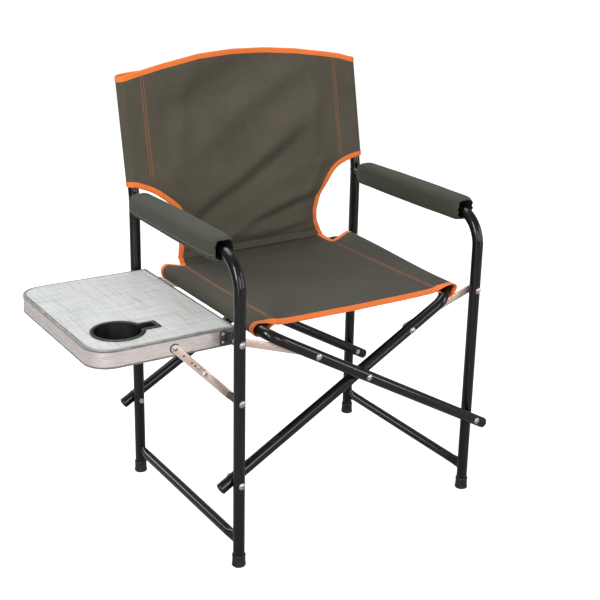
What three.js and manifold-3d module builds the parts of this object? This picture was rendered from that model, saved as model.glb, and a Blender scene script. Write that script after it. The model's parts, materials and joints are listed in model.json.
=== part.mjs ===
// Folding director chair with a side table, in millimetres, +Z up, the sitter facing -Y.
// The chair is laid out with x = 0 midway between its side frames and z = 0 on the ground,
// and the whole group is then moved so that its origin is below the middle of its box.
import * as THREE from 'three';
import { mergeVertices } from 'three/addons/utils/BufferGeometryUtils.js';
import Module from 'manifold-3d';

const wasm = await Module();
wasm.setup();

// ---- Driving dimensions -------------------------------------------------------------------
const GAP = 0.3; // air between two pieces that touch
const TUBE_R = 11; // main steel tube, 22 mm across
const RAIL_R = 9.5; // lower side rail
const TUBE_SIDES = 14;

const HALF_WIDTH = 280; // chair centre plane to the legs of each side frame
const LAYER = 24; // tubes that cross lie one layer apart, front to back
const FRONT_Y = -220; // front leg of the table side, and front of seat frame A
const REAR_Y = 216; // rear post of the table side, and rear of seat frame A
const ARM_Z = 605.5; // centre line of the arm tube
const ARM_BEND_R = 66;
const POST_BEND_Z = 615; // the rear post leans back above this height
const POST_BEND_R = 120;
const POST_LEAN = THREE.MathUtils.degToRad(11.5);
const POST_TOP_Z = 846;
const LOWER_RAIL_Z = 52;

const LOWER_PIVOT_Z = 170;
const CENTRE_Z = 328; // pivot where the two seat frames cross
const SEAT_RAIL_FROM_CENTRE = 254.8; // along the seat frame tube
const SEAT_BEND_R = 44;
const TUBE_END_PAST_PIVOT = 28;
const CROSS_ANGLE = Math.atan2(CENTRE_Z - LOWER_PIVOT_Z, HALF_WIDTH);
const CROSS_LENGTH = Math.hypot(HALF_WIDTH, CENTRE_Z - LOWER_PIVOT_Z);

const LINK_BOLT_FROM_CENTRE = 134.7;
const LINK_WIDTH = 14.5;
const LINK_T = 3;
const UPPER_BOLT_Z = 449;

const FOOT = { outer: 13.4, height: 24, floor: 2.7 };
const PAD = { front: 51, length: 365, width: 50, height: 53, rise: 3, corner: 17 };

const BOLT = { shank: 3, head: 6.5, headHeight: 3.2, nut: 6, nutHeight: 3.5, hole: 3.5 };

const TABLE = {
  inner: -266, outer: -541, front: -181.5, rear: 199, bottom: 432, top: 467,
  cornerR: 46, squareR: 4, lip: 6, wall: 13, boardT: 4.2,
};
const CUP = {
  x: -460.8, y: -102.5, flangeR: 49.3, outerR: 44.8, innerR: 42.6, bottom: 425, floor: 2.5,
  flangeT: 2.4, slotLength: 78, slotOuter: 33, slotInner: 21, flange: 5,
};
const BRACKET = { left: -300, right: -262, bottom: 434, top: 464, thick: 2 };
const STRUT = {
  legZ: 335.4, topX: -388, topZ: 447, upper: 84, width: 15, thick: 1.3, upperTail: 10,
};

const CLOTH_T = 2;
const SEAT = { front: -190, rear: 192 };
const BACK = {
  sleeveBottom: 641, waistZ: 545, waistHalf: 172, waistArcTop: 632, bottomZ: 486, topMid: 889,
  topSide: 850, lowerY: 199, thick: 2.5,
};
// -------------------------------------------------------------------------------------------

const black = () => new THREE.MeshStandardMaterial({ color: 0x15161a, roughness: 0.35, metalness: 0.1 });
const zinc = () => new THREE.MeshStandardMaterial({ color: 0xc4c8cc, roughness: 0.3, metalness: 1 });
const aluminium = () => new THREE.MeshStandardMaterial({ color: 0xc9cbcd, roughness: 0.35, metalness: 1 });
const darkSteel = () => new THREE.MeshStandardMaterial({ color: 0x3c3d40, roughness: 0.4, metalness: 0.9 });
const plastic = () => new THREE.MeshStandardMaterial({ color: 0x111112, roughness: 0.5, metalness: 0 });
const laminate = () => new THREE.MeshStandardMaterial({ color: 0xb9bdc0, roughness: 0.45, metalness: 0 });
const fabric = () => new THREE.MeshStandardMaterial({ color: 0x504f43, roughness: 0.9, metalness: 0 });
const padFabric = () => new THREE.MeshStandardMaterial({ color: 0x565a4f, roughness: 0.9, metalness: 0 });

const chair = new THREE.Group();

function addPiece(name, geometry, material) {
  geometry.computeVertexNormals();
  const mesh = new THREE.Mesh(geometry, material);
  mesh.name = name;
  chair.add(mesh);
}

// ---- Solids and cuts ----------------------------------------------------------------------
function toSolid(geometry) {
  const bare = geometry.clone();
  bare.deleteAttribute('normal');
  bare.deleteAttribute('uv');
  const merged = mergeVertices(bare, 1e-4);
  return new wasm.Manifold(new wasm.Mesh({
    numProp: 3,
    vertProperties: new Float32Array(merged.attributes.position.array),
    triVerts: new Uint32Array(merged.index.array),
  }));
}

function toGeometry(solid) {
  const mesh = solid.getMesh();
  const geometry = new THREE.BufferGeometry();
  geometry.setAttribute('position', new THREE.BufferAttribute(new Float32Array(mesh.vertProperties), 3));
  geometry.setIndex(new THREE.BufferAttribute(new Uint32Array(mesh.triVerts), 1));
  return geometry;
}

const cut = (body, ...tools) =>
  toGeometry(tools.reduce((solid, tool) => solid.subtract(toSolid(tool)), toSolid(body)));
const join = (body, ...others) =>
  toGeometry(others.reduce((solid, other) => solid.add(toSolid(other)), toSolid(body)));
const common = (a, b) => toGeometry(toSolid(a).intersect(toSolid(b)));

// A round bar along Y from one y to another.
function barAlongY(radius, x, z, yFrom, yTo, sides = 12) {
  const bar = new THREE.CylinderGeometry(radius, radius, yTo - yFrom, sides);
  bar.translate(x, (yFrom + yTo) / 2, z);
  return bar;
}

const drill = (geometry, places) => cut(geometry, ...places.map(({ x, z, from, to }) =>
  barAlongY(BOLT.hole, x, z, from, to, 10)));

// A profile drawn in x and z, made solid from one y to another.
function plateAlongY(shape, yFrom, yTo, curveSegments = 8) {
  const plate = new THREE.ExtrudeGeometry(shape, {
    depth: yTo - yFrom, bevelEnabled: false, curveSegments,
  });
  plate.rotateX(Math.PI / 2); // the profile's y becomes +Z and its depth runs along -Y
  plate.translate(0, yTo, 0);
  return plate;
}

// A profile drawn in x and y, made solid from one height to another.
function plateAlongZ(shape, zFrom, zTo, curveSegments = 8) {
  const plate = new THREE.ExtrudeGeometry(shape, {
    depth: zTo - zFrom, bevelEnabled: false, curveSegments,
  });
  plate.translate(0, 0, zFrom);
  return plate;
}

// ---- Bent tubes ---------------------------------------------------------------------------
// A centre line that is sampled at its own stations: both ends of each straight run, and
// several places round each bend.
class TubePath extends THREE.Curve {
  constructor(stations) {
    super();
    this.stations = stations;
  }

  getPointAt(u) {
    return this.stations[Math.round(u * (this.stations.length - 1))];
  }

  getSpacedPoints() {
    return this.stations;
  }

  getTangentAt(u) {
    const last = this.stations.length - 1;
    const i = Math.round(u * last);
    const before = this.stations[Math.max(i - 1, 0)];
    const after = this.stations[Math.min(i + 1, last)];
    const here = this.stations[i];
    const incoming = i > 0 ? here.clone().sub(before).normalize() : new THREE.Vector3();
    const outgoing = i < last ? after.clone().sub(here).normalize() : new THREE.Vector3();
    return incoming.add(outgoing).normalize();
  }
}

// Corner points become tangent arcs of the given radius.
function bentPath(corners, radius, stepsPerBend = 7) {
  const stations = [corners[0]];
  for (let i = 1; i < corners.length - 1; i += 1) {
    const back = corners[i - 1].clone().sub(corners[i]).normalize();
    const ahead = corners[i + 1].clone().sub(corners[i]).normalize();
    const half = back.angleTo(ahead) / 2;
    const reach = radius / Math.tan(half);
    const toCentre = back.clone().add(ahead).normalize().multiplyScalar(radius / Math.sin(half));
    const centre = corners[i].clone().add(toCentre);
    const start = corners[i].clone().addScaledVector(back, reach).sub(centre);
    const end = corners[i].clone().addScaledVector(ahead, reach).sub(centre);
    const axis = start.clone().cross(end).normalize();
    const sweep = start.angleTo(end);
    for (let k = 0; k <= stepsPerBend; k += 1) {
      stations.push(start.clone().applyAxisAngle(axis, sweep * k / stepsPerBend).add(centre));
    }
  }
  stations.push(corners[corners.length - 1]);
  return new TubePath(stations);
}

function circleShape(radius, sides) {
  const points = [];
  for (let i = 0; i < sides; i += 1) {
    const angle = 2 * Math.PI * i / sides;
    points.push(new THREE.Vector2(radius * Math.cos(angle), radius * Math.sin(angle)));
  }
  return new THREE.Shape(points);
}

const roundTube = (path, radius, sides = TUBE_SIDES) => new THREE.ExtrudeGeometry(
  circleShape(radius, sides),
  { steps: path.stations.length - 1, extrudePath: path, bevelEnabled: false },
);

// ---- Side frames --------------------------------------------------------------------------
// side is -1 for the table side and +1 for the plain side, which stands one layer further back.
const SIDES = [
  { side: -1, label: 'table_side', shift: 0 },
  { side: 1, label: 'plain_side', shift: LAYER },
];
const TUBE_BOTTOM = FOOT.floor + GAP;

function legAndArmPath({ side, shift }, armEnd) {
  const x = side * HALF_WIDTH;
  return bentPath([
    new THREE.Vector3(x, FRONT_Y + shift, TUBE_BOTTOM),
    new THREE.Vector3(x, FRONT_Y + shift, ARM_Z),
    new THREE.Vector3(x, armEnd, ARM_Z),
  ], ARM_BEND_R);
}

const armEndY = (shift) => REAR_Y + shift - TUBE_R - GAP;

const legAndArm = (frame, holes) =>
  drill(roundTube(legAndArmPath(frame, armEndY(frame.shift)), TUBE_R), holes);

// A point on the leaning upper part of a rear post's centre line.
const postPoint = ({ side, shift }, z) => new THREE.Vector3(
  side * HALF_WIDTH, REAR_Y + shift + (z - POST_BEND_Z) * Math.tan(POST_LEAN), z,
);

function rearPost(frame, holes) {
  const bend = postPoint(frame, POST_BEND_Z);
  const path = bentPath([
    new THREE.Vector3(bend.x, bend.y, TUBE_BOTTOM), bend, postPoint(frame, POST_TOP_Z),
  ], POST_BEND_R, 3);
  return drill(roundTube(path, TUBE_R), holes);
}

// The rail's ends are cut to sit round the leg and the post.
function lowerRail({ side, shift }) {
  const x = side * HALF_WIDTH;
  const rail = barAlongY(RAIL_R, x, LOWER_RAIL_Z, FRONT_Y + shift, REAR_Y + shift);
  const around = (y) => {
    const bar = new THREE.CylinderGeometry(TUBE_R + GAP, TUBE_R + GAP, 4 * TUBE_R, 2 * TUBE_SIDES);
    bar.rotateX(Math.PI / 2);
    bar.translate(x, y, LOWER_RAIL_Z);
    return bar;
  };
  return cut(rail, around(FRONT_Y + shift), around(REAR_Y + shift));
}

function footCap(x, y) {
  const bore = TUBE_R + GAP;
  const profile = [
    [0, 0], [FOOT.outer - 1, 0], [FOOT.outer, 1], [FOOT.outer - 0.4, FOOT.height - 6],
    [FOOT.outer - 1.2, FOOT.height], [bore, FOOT.height], [bore, FOOT.floor], [0, FOOT.floor],
  ].map(([r, z]) => new THREE.Vector2(r, z));
  const cap = new THREE.LatheGeometry(profile, TUBE_SIDES);
  cap.rotateX(Math.PI / 2);
  cap.translate(x, y, 0);
  return cap;
}

// A padded sleeve round the arm tube, a rounded box in section, bored by the tube itself.
function armPad(frame) {
  const { width, height, corner, rise } = PAD;
  const section = new THREE.Shape();
  const right = width / 2;
  const top = height / 2 + rise;
  const bottom = rise - height / 2;
  section.moveTo(right, top - corner);
  section.absarc(right - corner, top - corner, corner, 0, Math.PI / 2);
  section.absarc(corner - right, top - corner, corner, Math.PI / 2, Math.PI);
  section.absarc(corner - right, bottom + corner, corner, Math.PI, 1.5 * Math.PI);
  section.absarc(right - corner, bottom + corner, corner, 1.5 * Math.PI, 2 * Math.PI);
  const front = FRONT_Y + PAD.front + frame.shift / 2;
  const pad = plateAlongY(section, front, front + PAD.length, 4);
  pad.translate(frame.side * HALF_WIDTH, 0, ARM_Z);
  const armEnd = REAR_Y + frame.shift;
  return cut(pad, roundTube(legAndArmPath(frame, armEnd), TUBE_R + GAP));
}

// ---- Crossed seat frames ------------------------------------------------------------------
// Seat frame A carries the seat rail of the table side and stands on the plain side's pivots.
// Seat frame B is its mirror image, one layer further back.
const SEAT_FRAMES = [
  { side: -1, label: 'a', shift: 0 },
  { side: 1, label: 'b', shift: LAYER },
];

// A point on a seat frame, at a distance from the centre pivot towards its seat rail.
const onSeatFrame = (side, distance) => ({
  x: side * distance * Math.cos(CROSS_ANGLE),
  z: CENTRE_Z + distance * Math.sin(CROSS_ANGLE),
});

function seatFrame({ side, shift }, holes) {
  const rail = onSeatFrame(side, SEAT_RAIL_FROM_CENTRE);
  const end = onSeatFrame(side, -CROSS_LENGTH - TUBE_END_PAST_PIVOT);
  const front = FRONT_Y + shift;
  const rear = REAR_Y + shift;
  const path = bentPath([
    new THREE.Vector3(end.x, front, end.z),
    new THREE.Vector3(rail.x, front, rail.z),
    new THREE.Vector3(rail.x, rear, rail.z),
    new THREE.Vector3(end.x, rear, end.z),
  ], SEAT_BEND_R);
  return drill(roundTube(path, TUBE_R), holes);
}

// A domed plug that closes the lower end of a seat frame tube.
function endPlug(side, y) {
  const end = onSeatFrame(side, -CROSS_LENGTH - TUBE_END_PAST_PIVOT - GAP);
  const profile = [[0, 0], [TUBE_R, 0], [TUBE_R, 1.5], [TUBE_R - 2, 3.5], [0, 4.5]]
    .map(([r, h]) => new THREE.Vector2(r, h));
  const plug = new THREE.LatheGeometry(profile, TUBE_SIDES);
  plug.rotateZ(side > 0 ? Math.PI / 2 : -Math.PI / 2);
  plug.rotateY(side > 0 ? -CROSS_ANGLE : CROSS_ANGLE);
  plug.translate(end.x, y, end.z);
  return plug;
}

// A flat bar with round ends between two points of the x-z plane, with a hole at each.
function flatBar(a, b, width, yFrom, yTo, tail = 0) {
  const length = Math.hypot(b.x - a.x, b.z - a.z) + tail;
  const angle = Math.atan2(b.z - a.z, b.x - a.x);
  const r = width / 2;
  const bar = new THREE.Shape();
  bar.moveTo(0, -r);
  bar.lineTo(length, -r);
  bar.absarc(length, 0, r, -Math.PI / 2, Math.PI / 2);
  bar.lineTo(0, r);
  bar.absarc(0, 0, r, Math.PI / 2, 1.5 * Math.PI);
  bar.holes.push(circleShape(BOLT.hole, 10));
  const farHole = circleShape(BOLT.hole, 10).getPoints();
  bar.holes.push(new THREE.Path(farHole.map((p) => new THREE.Vector2(p.x + length - tail, p.y))));
  const plate = plateAlongY(bar, yFrom, yTo, 6);
  plate.rotateY(-angle);
  plate.translate(a.x, 0, a.z);
  return plate;
}

// ---- Side table ---------------------------------------------------------------------------
// The table's outline, drawn in by a margin: rounded at the outer corners only.
function tableOutline(margin) {
  const left = TABLE.outer + margin;
  const right = TABLE.inner - margin;
  const front = TABLE.front + margin;
  const rear = TABLE.rear - margin;
  const round = Math.max(TABLE.cornerR - margin, 1);
  const square = Math.max(TABLE.squareR - margin, 0.8);
  const outline = new THREE.Shape();
  outline.moveTo(left + round, front);
  outline.lineTo(right - square, front);
  outline.absarc(right - square, front + square, square, -Math.PI / 2, 0);
  outline.absarc(right - square, rear - square, square, 0, Math.PI / 2);
  outline.absarc(left + round, rear - round, round, Math.PI / 2, Math.PI);
  outline.absarc(left + round, front + round, round, Math.PI, 1.5 * Math.PI);
  return outline;
}

// The opening through the board: the round cup well and the handle slot beside it.
function cupOutline(radius, slotWidth, slotEnd, zFrom, zTo) {
  const well = new THREE.CylinderGeometry(radius, radius, zTo - zFrom, 36);
  well.rotateX(Math.PI / 2);
  well.translate(CUP.x, CUP.y, (zFrom + zTo) / 2);
  const slot = new THREE.BoxGeometry(slotEnd, slotWidth, zTo - zFrom);
  slot.translate(CUP.x + slotEnd / 2, CUP.y, (zFrom + zTo) / 2);
  return join(well, slot);
}

const boardZ = TABLE.top - 1;

function tableFrame(holes) {
  const outer = plateAlongZ(tableOutline(0), TABLE.bottom, TABLE.top);
  const seatForBoard = plateAlongZ(tableOutline(TABLE.lip), boardZ - TABLE.boardT, TABLE.top + 1);
  const inside = plateAlongZ(tableOutline(TABLE.wall), TABLE.bottom - 1, TABLE.top);
  return drill(cut(outer, seatForBoard, inside), holes);
}

function tableBoard() {
  const board = plateAlongZ(tableOutline(TABLE.lip + GAP), boardZ - TABLE.boardT + GAP, boardZ);
  const opening = cupOutline(
    CUP.outerR + GAP, CUP.slotOuter - 2 * CUP.flange + 2 * GAP, CUP.slotLength - CUP.flange + GAP,
    CUP.bottom, TABLE.top + 1,
  );
  return cut(board, opening);
}

function cupHolder() {
  const flangeZ = boardZ + GAP;
  const slotBody = CUP.slotOuter - 2 * CUP.flange;
  const flange = cupOutline(
    CUP.flangeR, CUP.slotOuter, CUP.slotLength, flangeZ, flangeZ + CUP.flangeT,
  );
  const body = cupOutline(
    CUP.outerR, slotBody, CUP.slotLength - CUP.flange, CUP.bottom, flangeZ + 1,
  );
  const hollow = cupOutline(
    CUP.innerR, slotBody - 3, CUP.slotLength - CUP.flange - 1.5, CUP.bottom + CUP.floor,
    flangeZ + CUP.flangeT + 1,
  );
  return cut(join(flange, body), hollow);
}

function tableBracket(yFrom, yTo, holes) {
  const plate = new THREE.Shape();
  const corner = 6;
  const middle = (BRACKET.bottom + BRACKET.top) / 2;
  const round = (BRACKET.top - BRACKET.bottom) / 2;
  plate.moveTo(BRACKET.left + corner, BRACKET.bottom);
  plate.lineTo(BRACKET.right - round, BRACKET.bottom);
  plate.absarc(BRACKET.right - round, middle, round, -Math.PI / 2, Math.PI / 2);
  plate.lineTo(BRACKET.left + corner, BRACKET.top);
  plate.absarc(BRACKET.left + corner, BRACKET.top - corner, corner, Math.PI / 2, Math.PI);
  plate.absarc(BRACKET.left + corner, BRACKET.bottom + corner, corner, Math.PI, 1.5 * Math.PI);
  return drill(plateAlongY(plate, yFrom, yTo, 4), holes);
}

// ---- Cloth --------------------------------------------------------------------------------
// Each sheet is two halves that meet on the centre line, and each half ends in a sleeve.
const sleeveR = TUBE_R + GAP + CLOTH_T;

function seatHalf({ side, shift }) {
  const rail = onSeatFrame(side, SEAT_RAIL_FROM_CENTRE);
  const sheet = new THREE.BoxGeometry(Math.abs(rail.x) - GAP / 2, SEAT.rear - SEAT.front, CLOTH_T);
  sheet.translate(
    (rail.x + side * GAP / 2) / 2, (SEAT.front + SEAT.rear) / 2, rail.z + sleeveR - CLOTH_T / 2,
  );
  const from = FRONT_Y + shift + SEAT_BEND_R + 2;
  const to = Math.min(REAR_Y + shift - SEAT_BEND_R - 2, SEAT.rear - 1);
  const sleeve = barAlongY(sleeveR, rail.x, rail.z, from, to, 2 * TUBE_SIDES);
  const bore = barAlongY(
    TUBE_R + GAP, rail.x, rail.z, SEAT.front - 1, SEAT.rear + 1, 2 * TUBE_SIDES,
  );
  return cut(join(sleeve, sheet), bore);
}

function backOutline(side) {
  const outline = new THREE.Shape();
  const shoulder = HALF_WIDTH - 4; // the sheet ends inside the sleeve's wall
  outline.moveTo(side * GAP / 2, BACK.bottomZ);
  outline.lineTo(side * GAP / 2, BACK.topMid);
  outline.quadraticCurveTo(
    side * shoulder * 0.55, BACK.topMid - 4, side * shoulder, BACK.topSide,
  );
  outline.lineTo(side * shoulder, BACK.sleeveBottom);
  outline.bezierCurveTo(
    side * (shoulder - 50), BACK.sleeveBottom - 4, side * BACK.waistHalf, BACK.waistArcTop - 30,
    side * BACK.waistHalf, BACK.waistZ,
  );
  outline.lineTo(side * BACK.waistHalf, BACK.bottomZ);
  return outline;
}

// The back sheet follows the posts: upright at the waist, leaning above it, and skewed by one
// layer from the table side to the plain side.
function backHalf({ side, shift }) {
  const lean = Math.tan(POST_LEAN);
  const front = REAR_Y - sleeveR / Math.cos(POST_LEAN);
  const top = BACK.topMid + 5;
  const kinkZ = POST_BEND_Z - (front - BACK.lowerY) / lean;
  const profile = new THREE.Shape([
    [BACK.lowerY, BACK.bottomZ - 1], [BACK.lowerY, kinkZ],
    [front + (top - POST_BEND_Z) * lean, top],
    [front + (top - POST_BEND_Z) * lean + BACK.thick, top],
    [BACK.lowerY + BACK.thick, kinkZ], [BACK.lowerY + BACK.thick, BACK.bottomZ - 1],
  ].map(([y, z]) => new THREE.Vector2(y, z)));
  const depth = HALF_WIDTH + 20;
  const slab = new THREE.ExtrudeGeometry(profile, { depth, bevelEnabled: false });
  slab.rotateX(Math.PI / 2); // the profile's x becomes +Y, its y +Z, and its depth +X
  slab.rotateZ(Math.PI / 2);
  slab.translate(side > 0 ? -1 : 1 - depth, 0, 0);
  const mask = plateAlongY(backOutline(side), REAR_Y - 60, REAR_Y + 90, 10);
  const skew = new THREE.Matrix4().makeShear(LAYER / (2 * HALF_WIDTH), 0, 0, 0, 0, 0);
  const sheet = common(slab, mask);
  sheet.applyMatrix4(skew);
  sheet.translate(0, LAYER / 2, 0);
  const sleeveFrom = postPoint({ side, shift }, BACK.sleeveBottom);
  const sleeveTo = postPoint({ side, shift }, POST_TOP_Z);
  const sleeve = roundTube(new TubePath([sleeveFrom, sleeveTo]), sleeveR, 2 * TUBE_SIDES);
  const bore = roundTube(new TubePath([
    postPoint({ side, shift }, BACK.sleeveBottom - 60), postPoint({ side, shift }, POST_TOP_Z + 60),
  ]), TUBE_R + GAP, 2 * TUBE_SIDES);
  return cut(join(sleeve, sheet), bore);
}

// ---- Bolts, washers and bosses ------------------------------------------------------------
// A bolt along Y. `head` is the face under its head and `tip` the face under its nut; a bolt
// with no nut ends flush there, held in the piece behind.
function bolt({ x, z, head, tip, nut = false, headR = BOLT.head, headHeight = BOLT.headHeight }) {
  const length = Math.abs(tip - head);
  const profile = [
    [0, -headHeight], [headR * 0.62, -headHeight], [headR, -headHeight * 0.35], [headR, -GAP],
    [BOLT.shank, -GAP],
  ];
  if (nut) {
    profile.push(
      [BOLT.shank, length + GAP], [BOLT.nut, length + GAP],
      [BOLT.nut, length + BOLT.nutHeight], [0, length + BOLT.nutHeight],
    );
  } else {
    profile.push([BOLT.shank, length - GAP], [0, length - GAP]);
  }
  const solid = new THREE.LatheGeometry(profile.map(([r, h]) => new THREE.Vector2(r, h)), 12);
  if (tip < head) solid.rotateX(Math.PI);
  solid.translate(x, head, z);
  return solid;
}

function ring(x, z, outer, yFrom, yTo) {
  const body = barAlongY(outer, x, z, yFrom, yTo, 16);
  return cut(body, barAlongY(BOLT.hole, x, z, yFrom - 1, yTo + 1, 10));
}

// ---- Assembly -----------------------------------------------------------------------------
const [tableSide, plainSide] = SIDES;
const ALL = { from: -400, to: 400 }; // a hole drilled right through
const frontOf = (shift) => FRONT_Y + shift - TUBE_R;
const rearOf = (shift) => REAR_Y + shift + TUBE_R;

for (const frame of SIDES) {
  const { side, label, shift } = frame;
  const x = side * HALF_WIDTH;
  const isTable = side < 0;
  const holes = [{ x, z: LOWER_PIVOT_Z, ...ALL }, { x, z: UPPER_BOLT_Z, ...ALL }];
  if (isTable) holes.push({ x, z: STRUT.legZ, ...ALL });
  const armHole = { x, z: ARM_Z, from: armEndY(shift) - 25, to: rearOf(shift) + 20 };
  addPiece(`leg_and_arm_${label}`, legAndArm(frame, [...holes, armHole]), black());
  addPiece(`rear_post_${label}`, rearPost(frame, [...holes, armHole]), black());
  addPiece(`lower_rail_${label}`, lowerRail(frame), black());
  addPiece(`foot_${label}_front`, footCap(x, FRONT_Y + shift), plastic());
  addPiece(`foot_${label}_rear`, footCap(x, REAR_Y + shift), plastic());
  addPiece(`arm_pad_${label}`, armPad(frame), padFabric());
  addPiece(`arm_bolt_${label}`, bolt({ x, z: ARM_Z, head: rearOf(shift) + GAP, tip: armEndY(shift) - 24 }), zinc());
}

const centre = { x: 0, z: CENTRE_Z };
for (const frame of SEAT_FRAMES) {
  const { side, label, shift } = frame;
  const foot = { x: -side * HALF_WIDTH, z: LOWER_PIVOT_Z };
  const linkBolt = onSeatFrame(side, LINK_BOLT_FROM_CENTRE);
  const holes = [centre, foot, linkBolt].map((place) => ({ ...place, ...ALL }));
  addPiece(`seat_frame_${label}`, seatFrame(frame, holes), black());
  addPiece(`end_plug_${label}_front`, endPlug(side, FRONT_Y + shift), plastic());
  addPiece(`end_plug_${label}_rear`, endPlug(side, REAR_Y + shift), plastic());
  addPiece(`seat_cloth_${label}`, seatHalf(frame), fabric());
  addPiece(`back_cloth_${label}`, backHalf(frame), fabric());

  // The link lies behind the front tubes and in front of the rear ones.
  const legBolt = { x: side * HALF_WIDTH, z: UPPER_BOLT_Z };
  const frontLink = FRONT_Y + shift + TUBE_R + GAP;
  const rearLink = REAR_Y + shift - TUBE_R - GAP;
  const name = side < 0 ? 'table_side' : 'plain_side';
  addPiece(
    `link_${name}_front`,
    flatBar(legBolt, linkBolt, LINK_WIDTH, frontLink, frontLink + LINK_T), aluminium(),
  );
  addPiece(
    `link_${name}_rear`,
    flatBar(legBolt, linkBolt, LINK_WIDTH, rearLink - LINK_T, rearLink), aluminium(),
  );
  addPiece(
    `link_bolt_${name}_front`,
    bolt({ ...linkBolt, head: frontOf(shift), tip: FRONT_Y + shift + TUBE_R }), zinc(),
  );
  addPiece(
    `link_bolt_${name}_rear`,
    bolt({ ...linkBolt, head: rearOf(shift), tip: REAR_Y + shift - TUBE_R }), zinc(),
  );
}

// Each lower pivot and each centre pivot joins two tubes that lie one layer apart.
const crossings = [
  { name: 'lower_bolt_table_side', x: -HALF_WIDTH, z: LOWER_PIVOT_Z },
  { name: 'lower_bolt_plain_side', x: HALF_WIDTH, z: LOWER_PIVOT_Z },
  { name: 'centre_bolt', ...centre },
];
for (const { name, x, z } of crossings) {
  addPiece(`${name}_front`, bolt({ x, z, head: frontOf(0), tip: FRONT_Y + LAYER + TUBE_R, nut: true }), zinc());
  addPiece(`${name}_rear`, bolt({ x, z, head: rearOf(LAYER), tip: REAR_Y - TUBE_R, nut: true }), zinc());
}

const upperPlain = { x: HALF_WIDTH, z: UPPER_BOLT_Z };
addPiece('upper_bolt_plain_side_front', bolt({
  ...upperPlain, head: frontOf(LAYER), tip: FRONT_Y + LAYER + TUBE_R + LINK_T + GAP, nut: true,
}), zinc());
addPiece('upper_bolt_plain_side_rear', bolt({
  ...upperPlain, head: rearOf(LAYER), tip: REAR_Y + LAYER - TUBE_R - LINK_T - GAP, nut: true,
}), zinc());

// Table: the upper bolts run through leg, link, boss and bracket into the table's frame.
const upperTable = { x: -HALF_WIDTH, z: UPPER_BOLT_Z };
const strutTop = { x: STRUT.topX, z: STRUT.topZ };
const BLIND = 9; // depth of a bolt in the table's frame
const blindHoles = [upperTable, strutTop].flatMap((place) => [
  { ...place, from: TABLE.front - 1, to: TABLE.front + BLIND },
  { ...place, from: TABLE.rear - BLIND, to: TABLE.rear + 1 },
]);
addPiece('table_frame', tableFrame(blindHoles), aluminium());
addPiece('table_board', tableBoard(), laminate());
addPiece('cup_holder', cupHolder(), plastic());

const bracketHole = [{ ...upperTable, ...ALL }];
const bracketFront = TABLE.front - GAP - BRACKET.thick;
const bracketRear = TABLE.rear + GAP;
addPiece('table_bracket_front', tableBracket(bracketFront, TABLE.front - GAP, bracketHole), darkSteel());
addPiece('table_bracket_rear', tableBracket(bracketRear, bracketRear + BRACKET.thick, bracketHole), darkSteel());
const bossFrom = FRONT_Y + TUBE_R + LINK_T + 2 * GAP;
addPiece('table_hinge_boss', ring(upperTable.x, upperTable.z, 9, bossFrom, bracketFront - GAP), plastic());
addPiece('upper_bolt_table_side_front', bolt({
  ...upperTable, head: frontOf(0), tip: TABLE.front + BLIND - GAP,
}), zinc());
addPiece('upper_bolt_table_side_rear', bolt({
  ...upperTable, head: rearOf(0), tip: TABLE.rear - BLIND + GAP,
}), zinc());

// Struts: the upper arm lies against the table's frame, and the lower arm over it.
const strutFoot = { x: -HALF_WIDTH, z: STRUT.legZ };
const span = Math.hypot(strutTop.x - strutFoot.x, strutTop.z - strutFoot.z);
const along = (share) => ({
  x: strutTop.x + share * (strutFoot.x - strutTop.x),
  z: strutTop.z + share * (strutFoot.z - strutTop.z),
});
const knee = along(STRUT.upper / span);
const strutLayers = [
  { end: 'front', face: TABLE.front, out: -1, leg: FRONT_Y + TUBE_R, head: frontOf(0) },
  { end: 'rear', face: TABLE.rear, out: 1, leg: REAR_Y - TUBE_R, head: rearOf(0) },
];
for (const { end, face, out, leg, head } of strutLayers) {
  const layer = (n) => face + out * (GAP + n * (STRUT.thick + GAP));
  const between = (a, b) => [Math.min(a, b), Math.max(a, b)];
  const upperY = between(layer(0), layer(0) + out * STRUT.thick);
  const lowerY = between(layer(1), layer(1) + out * STRUT.thick);
  addPiece(
    `strut_upper_arm_${end}`, flatBar(strutTop, knee, STRUT.width, ...upperY, STRUT.upperTail),
    aluminium(),
  );
  addPiece(`strut_lower_arm_${end}`, flatBar(strutFoot, knee, STRUT.width, ...lowerY), aluminium());
  const lowerFace = layer(1) + out * STRUT.thick;
  addPiece(
    `strut_boss_${end}`,
    ring(strutFoot.x, strutFoot.z, 7, ...between(lowerFace + out * GAP, leg - out * GAP)), darkSteel(),
  );
  addPiece(`strut_leg_bolt_${end}`, bolt({ ...strutFoot, head, tip: layer(1) }), zinc());
  addPiece(`strut_top_bolt_${end}`, bolt({
    ...strutTop, head: layer(0) + out * STRUT.thick, tip: face - out * (BLIND - GAP), headR: 4.2, headHeight: 1.8,
  }), zinc());
  const rivetFrom = layer(1) - out * 0.1;
  addPiece(
    `knee_rivet_${end}`,
    barAlongY(BOLT.shank, knee.x, knee.z, ...between(rivetFrom, lowerFace + out * 0.1), 12), zinc(),
  );
}

// ---- Origin -------------------------------------------------------------------------------
const box = new THREE.Box3().setFromObject(chair);
const middle = box.getCenter(new THREE.Vector3());
chair.position.set(-middle.x, -middle.y, -box.min.z);
chair.updateMatrixWorld(true);

export default chair;
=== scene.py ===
"""Folding director chair with a side table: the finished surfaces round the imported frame.

Shapes are worked out in chair millimetres, with x = 0 midway between the side frames, z = 0 on
the ground and the sitter facing -Y, and are then moved into the row frame, in metres.
"""

import json
import logging
import math
from dataclasses import dataclass
from enum import Enum
from typing import Callable, Sequence

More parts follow.
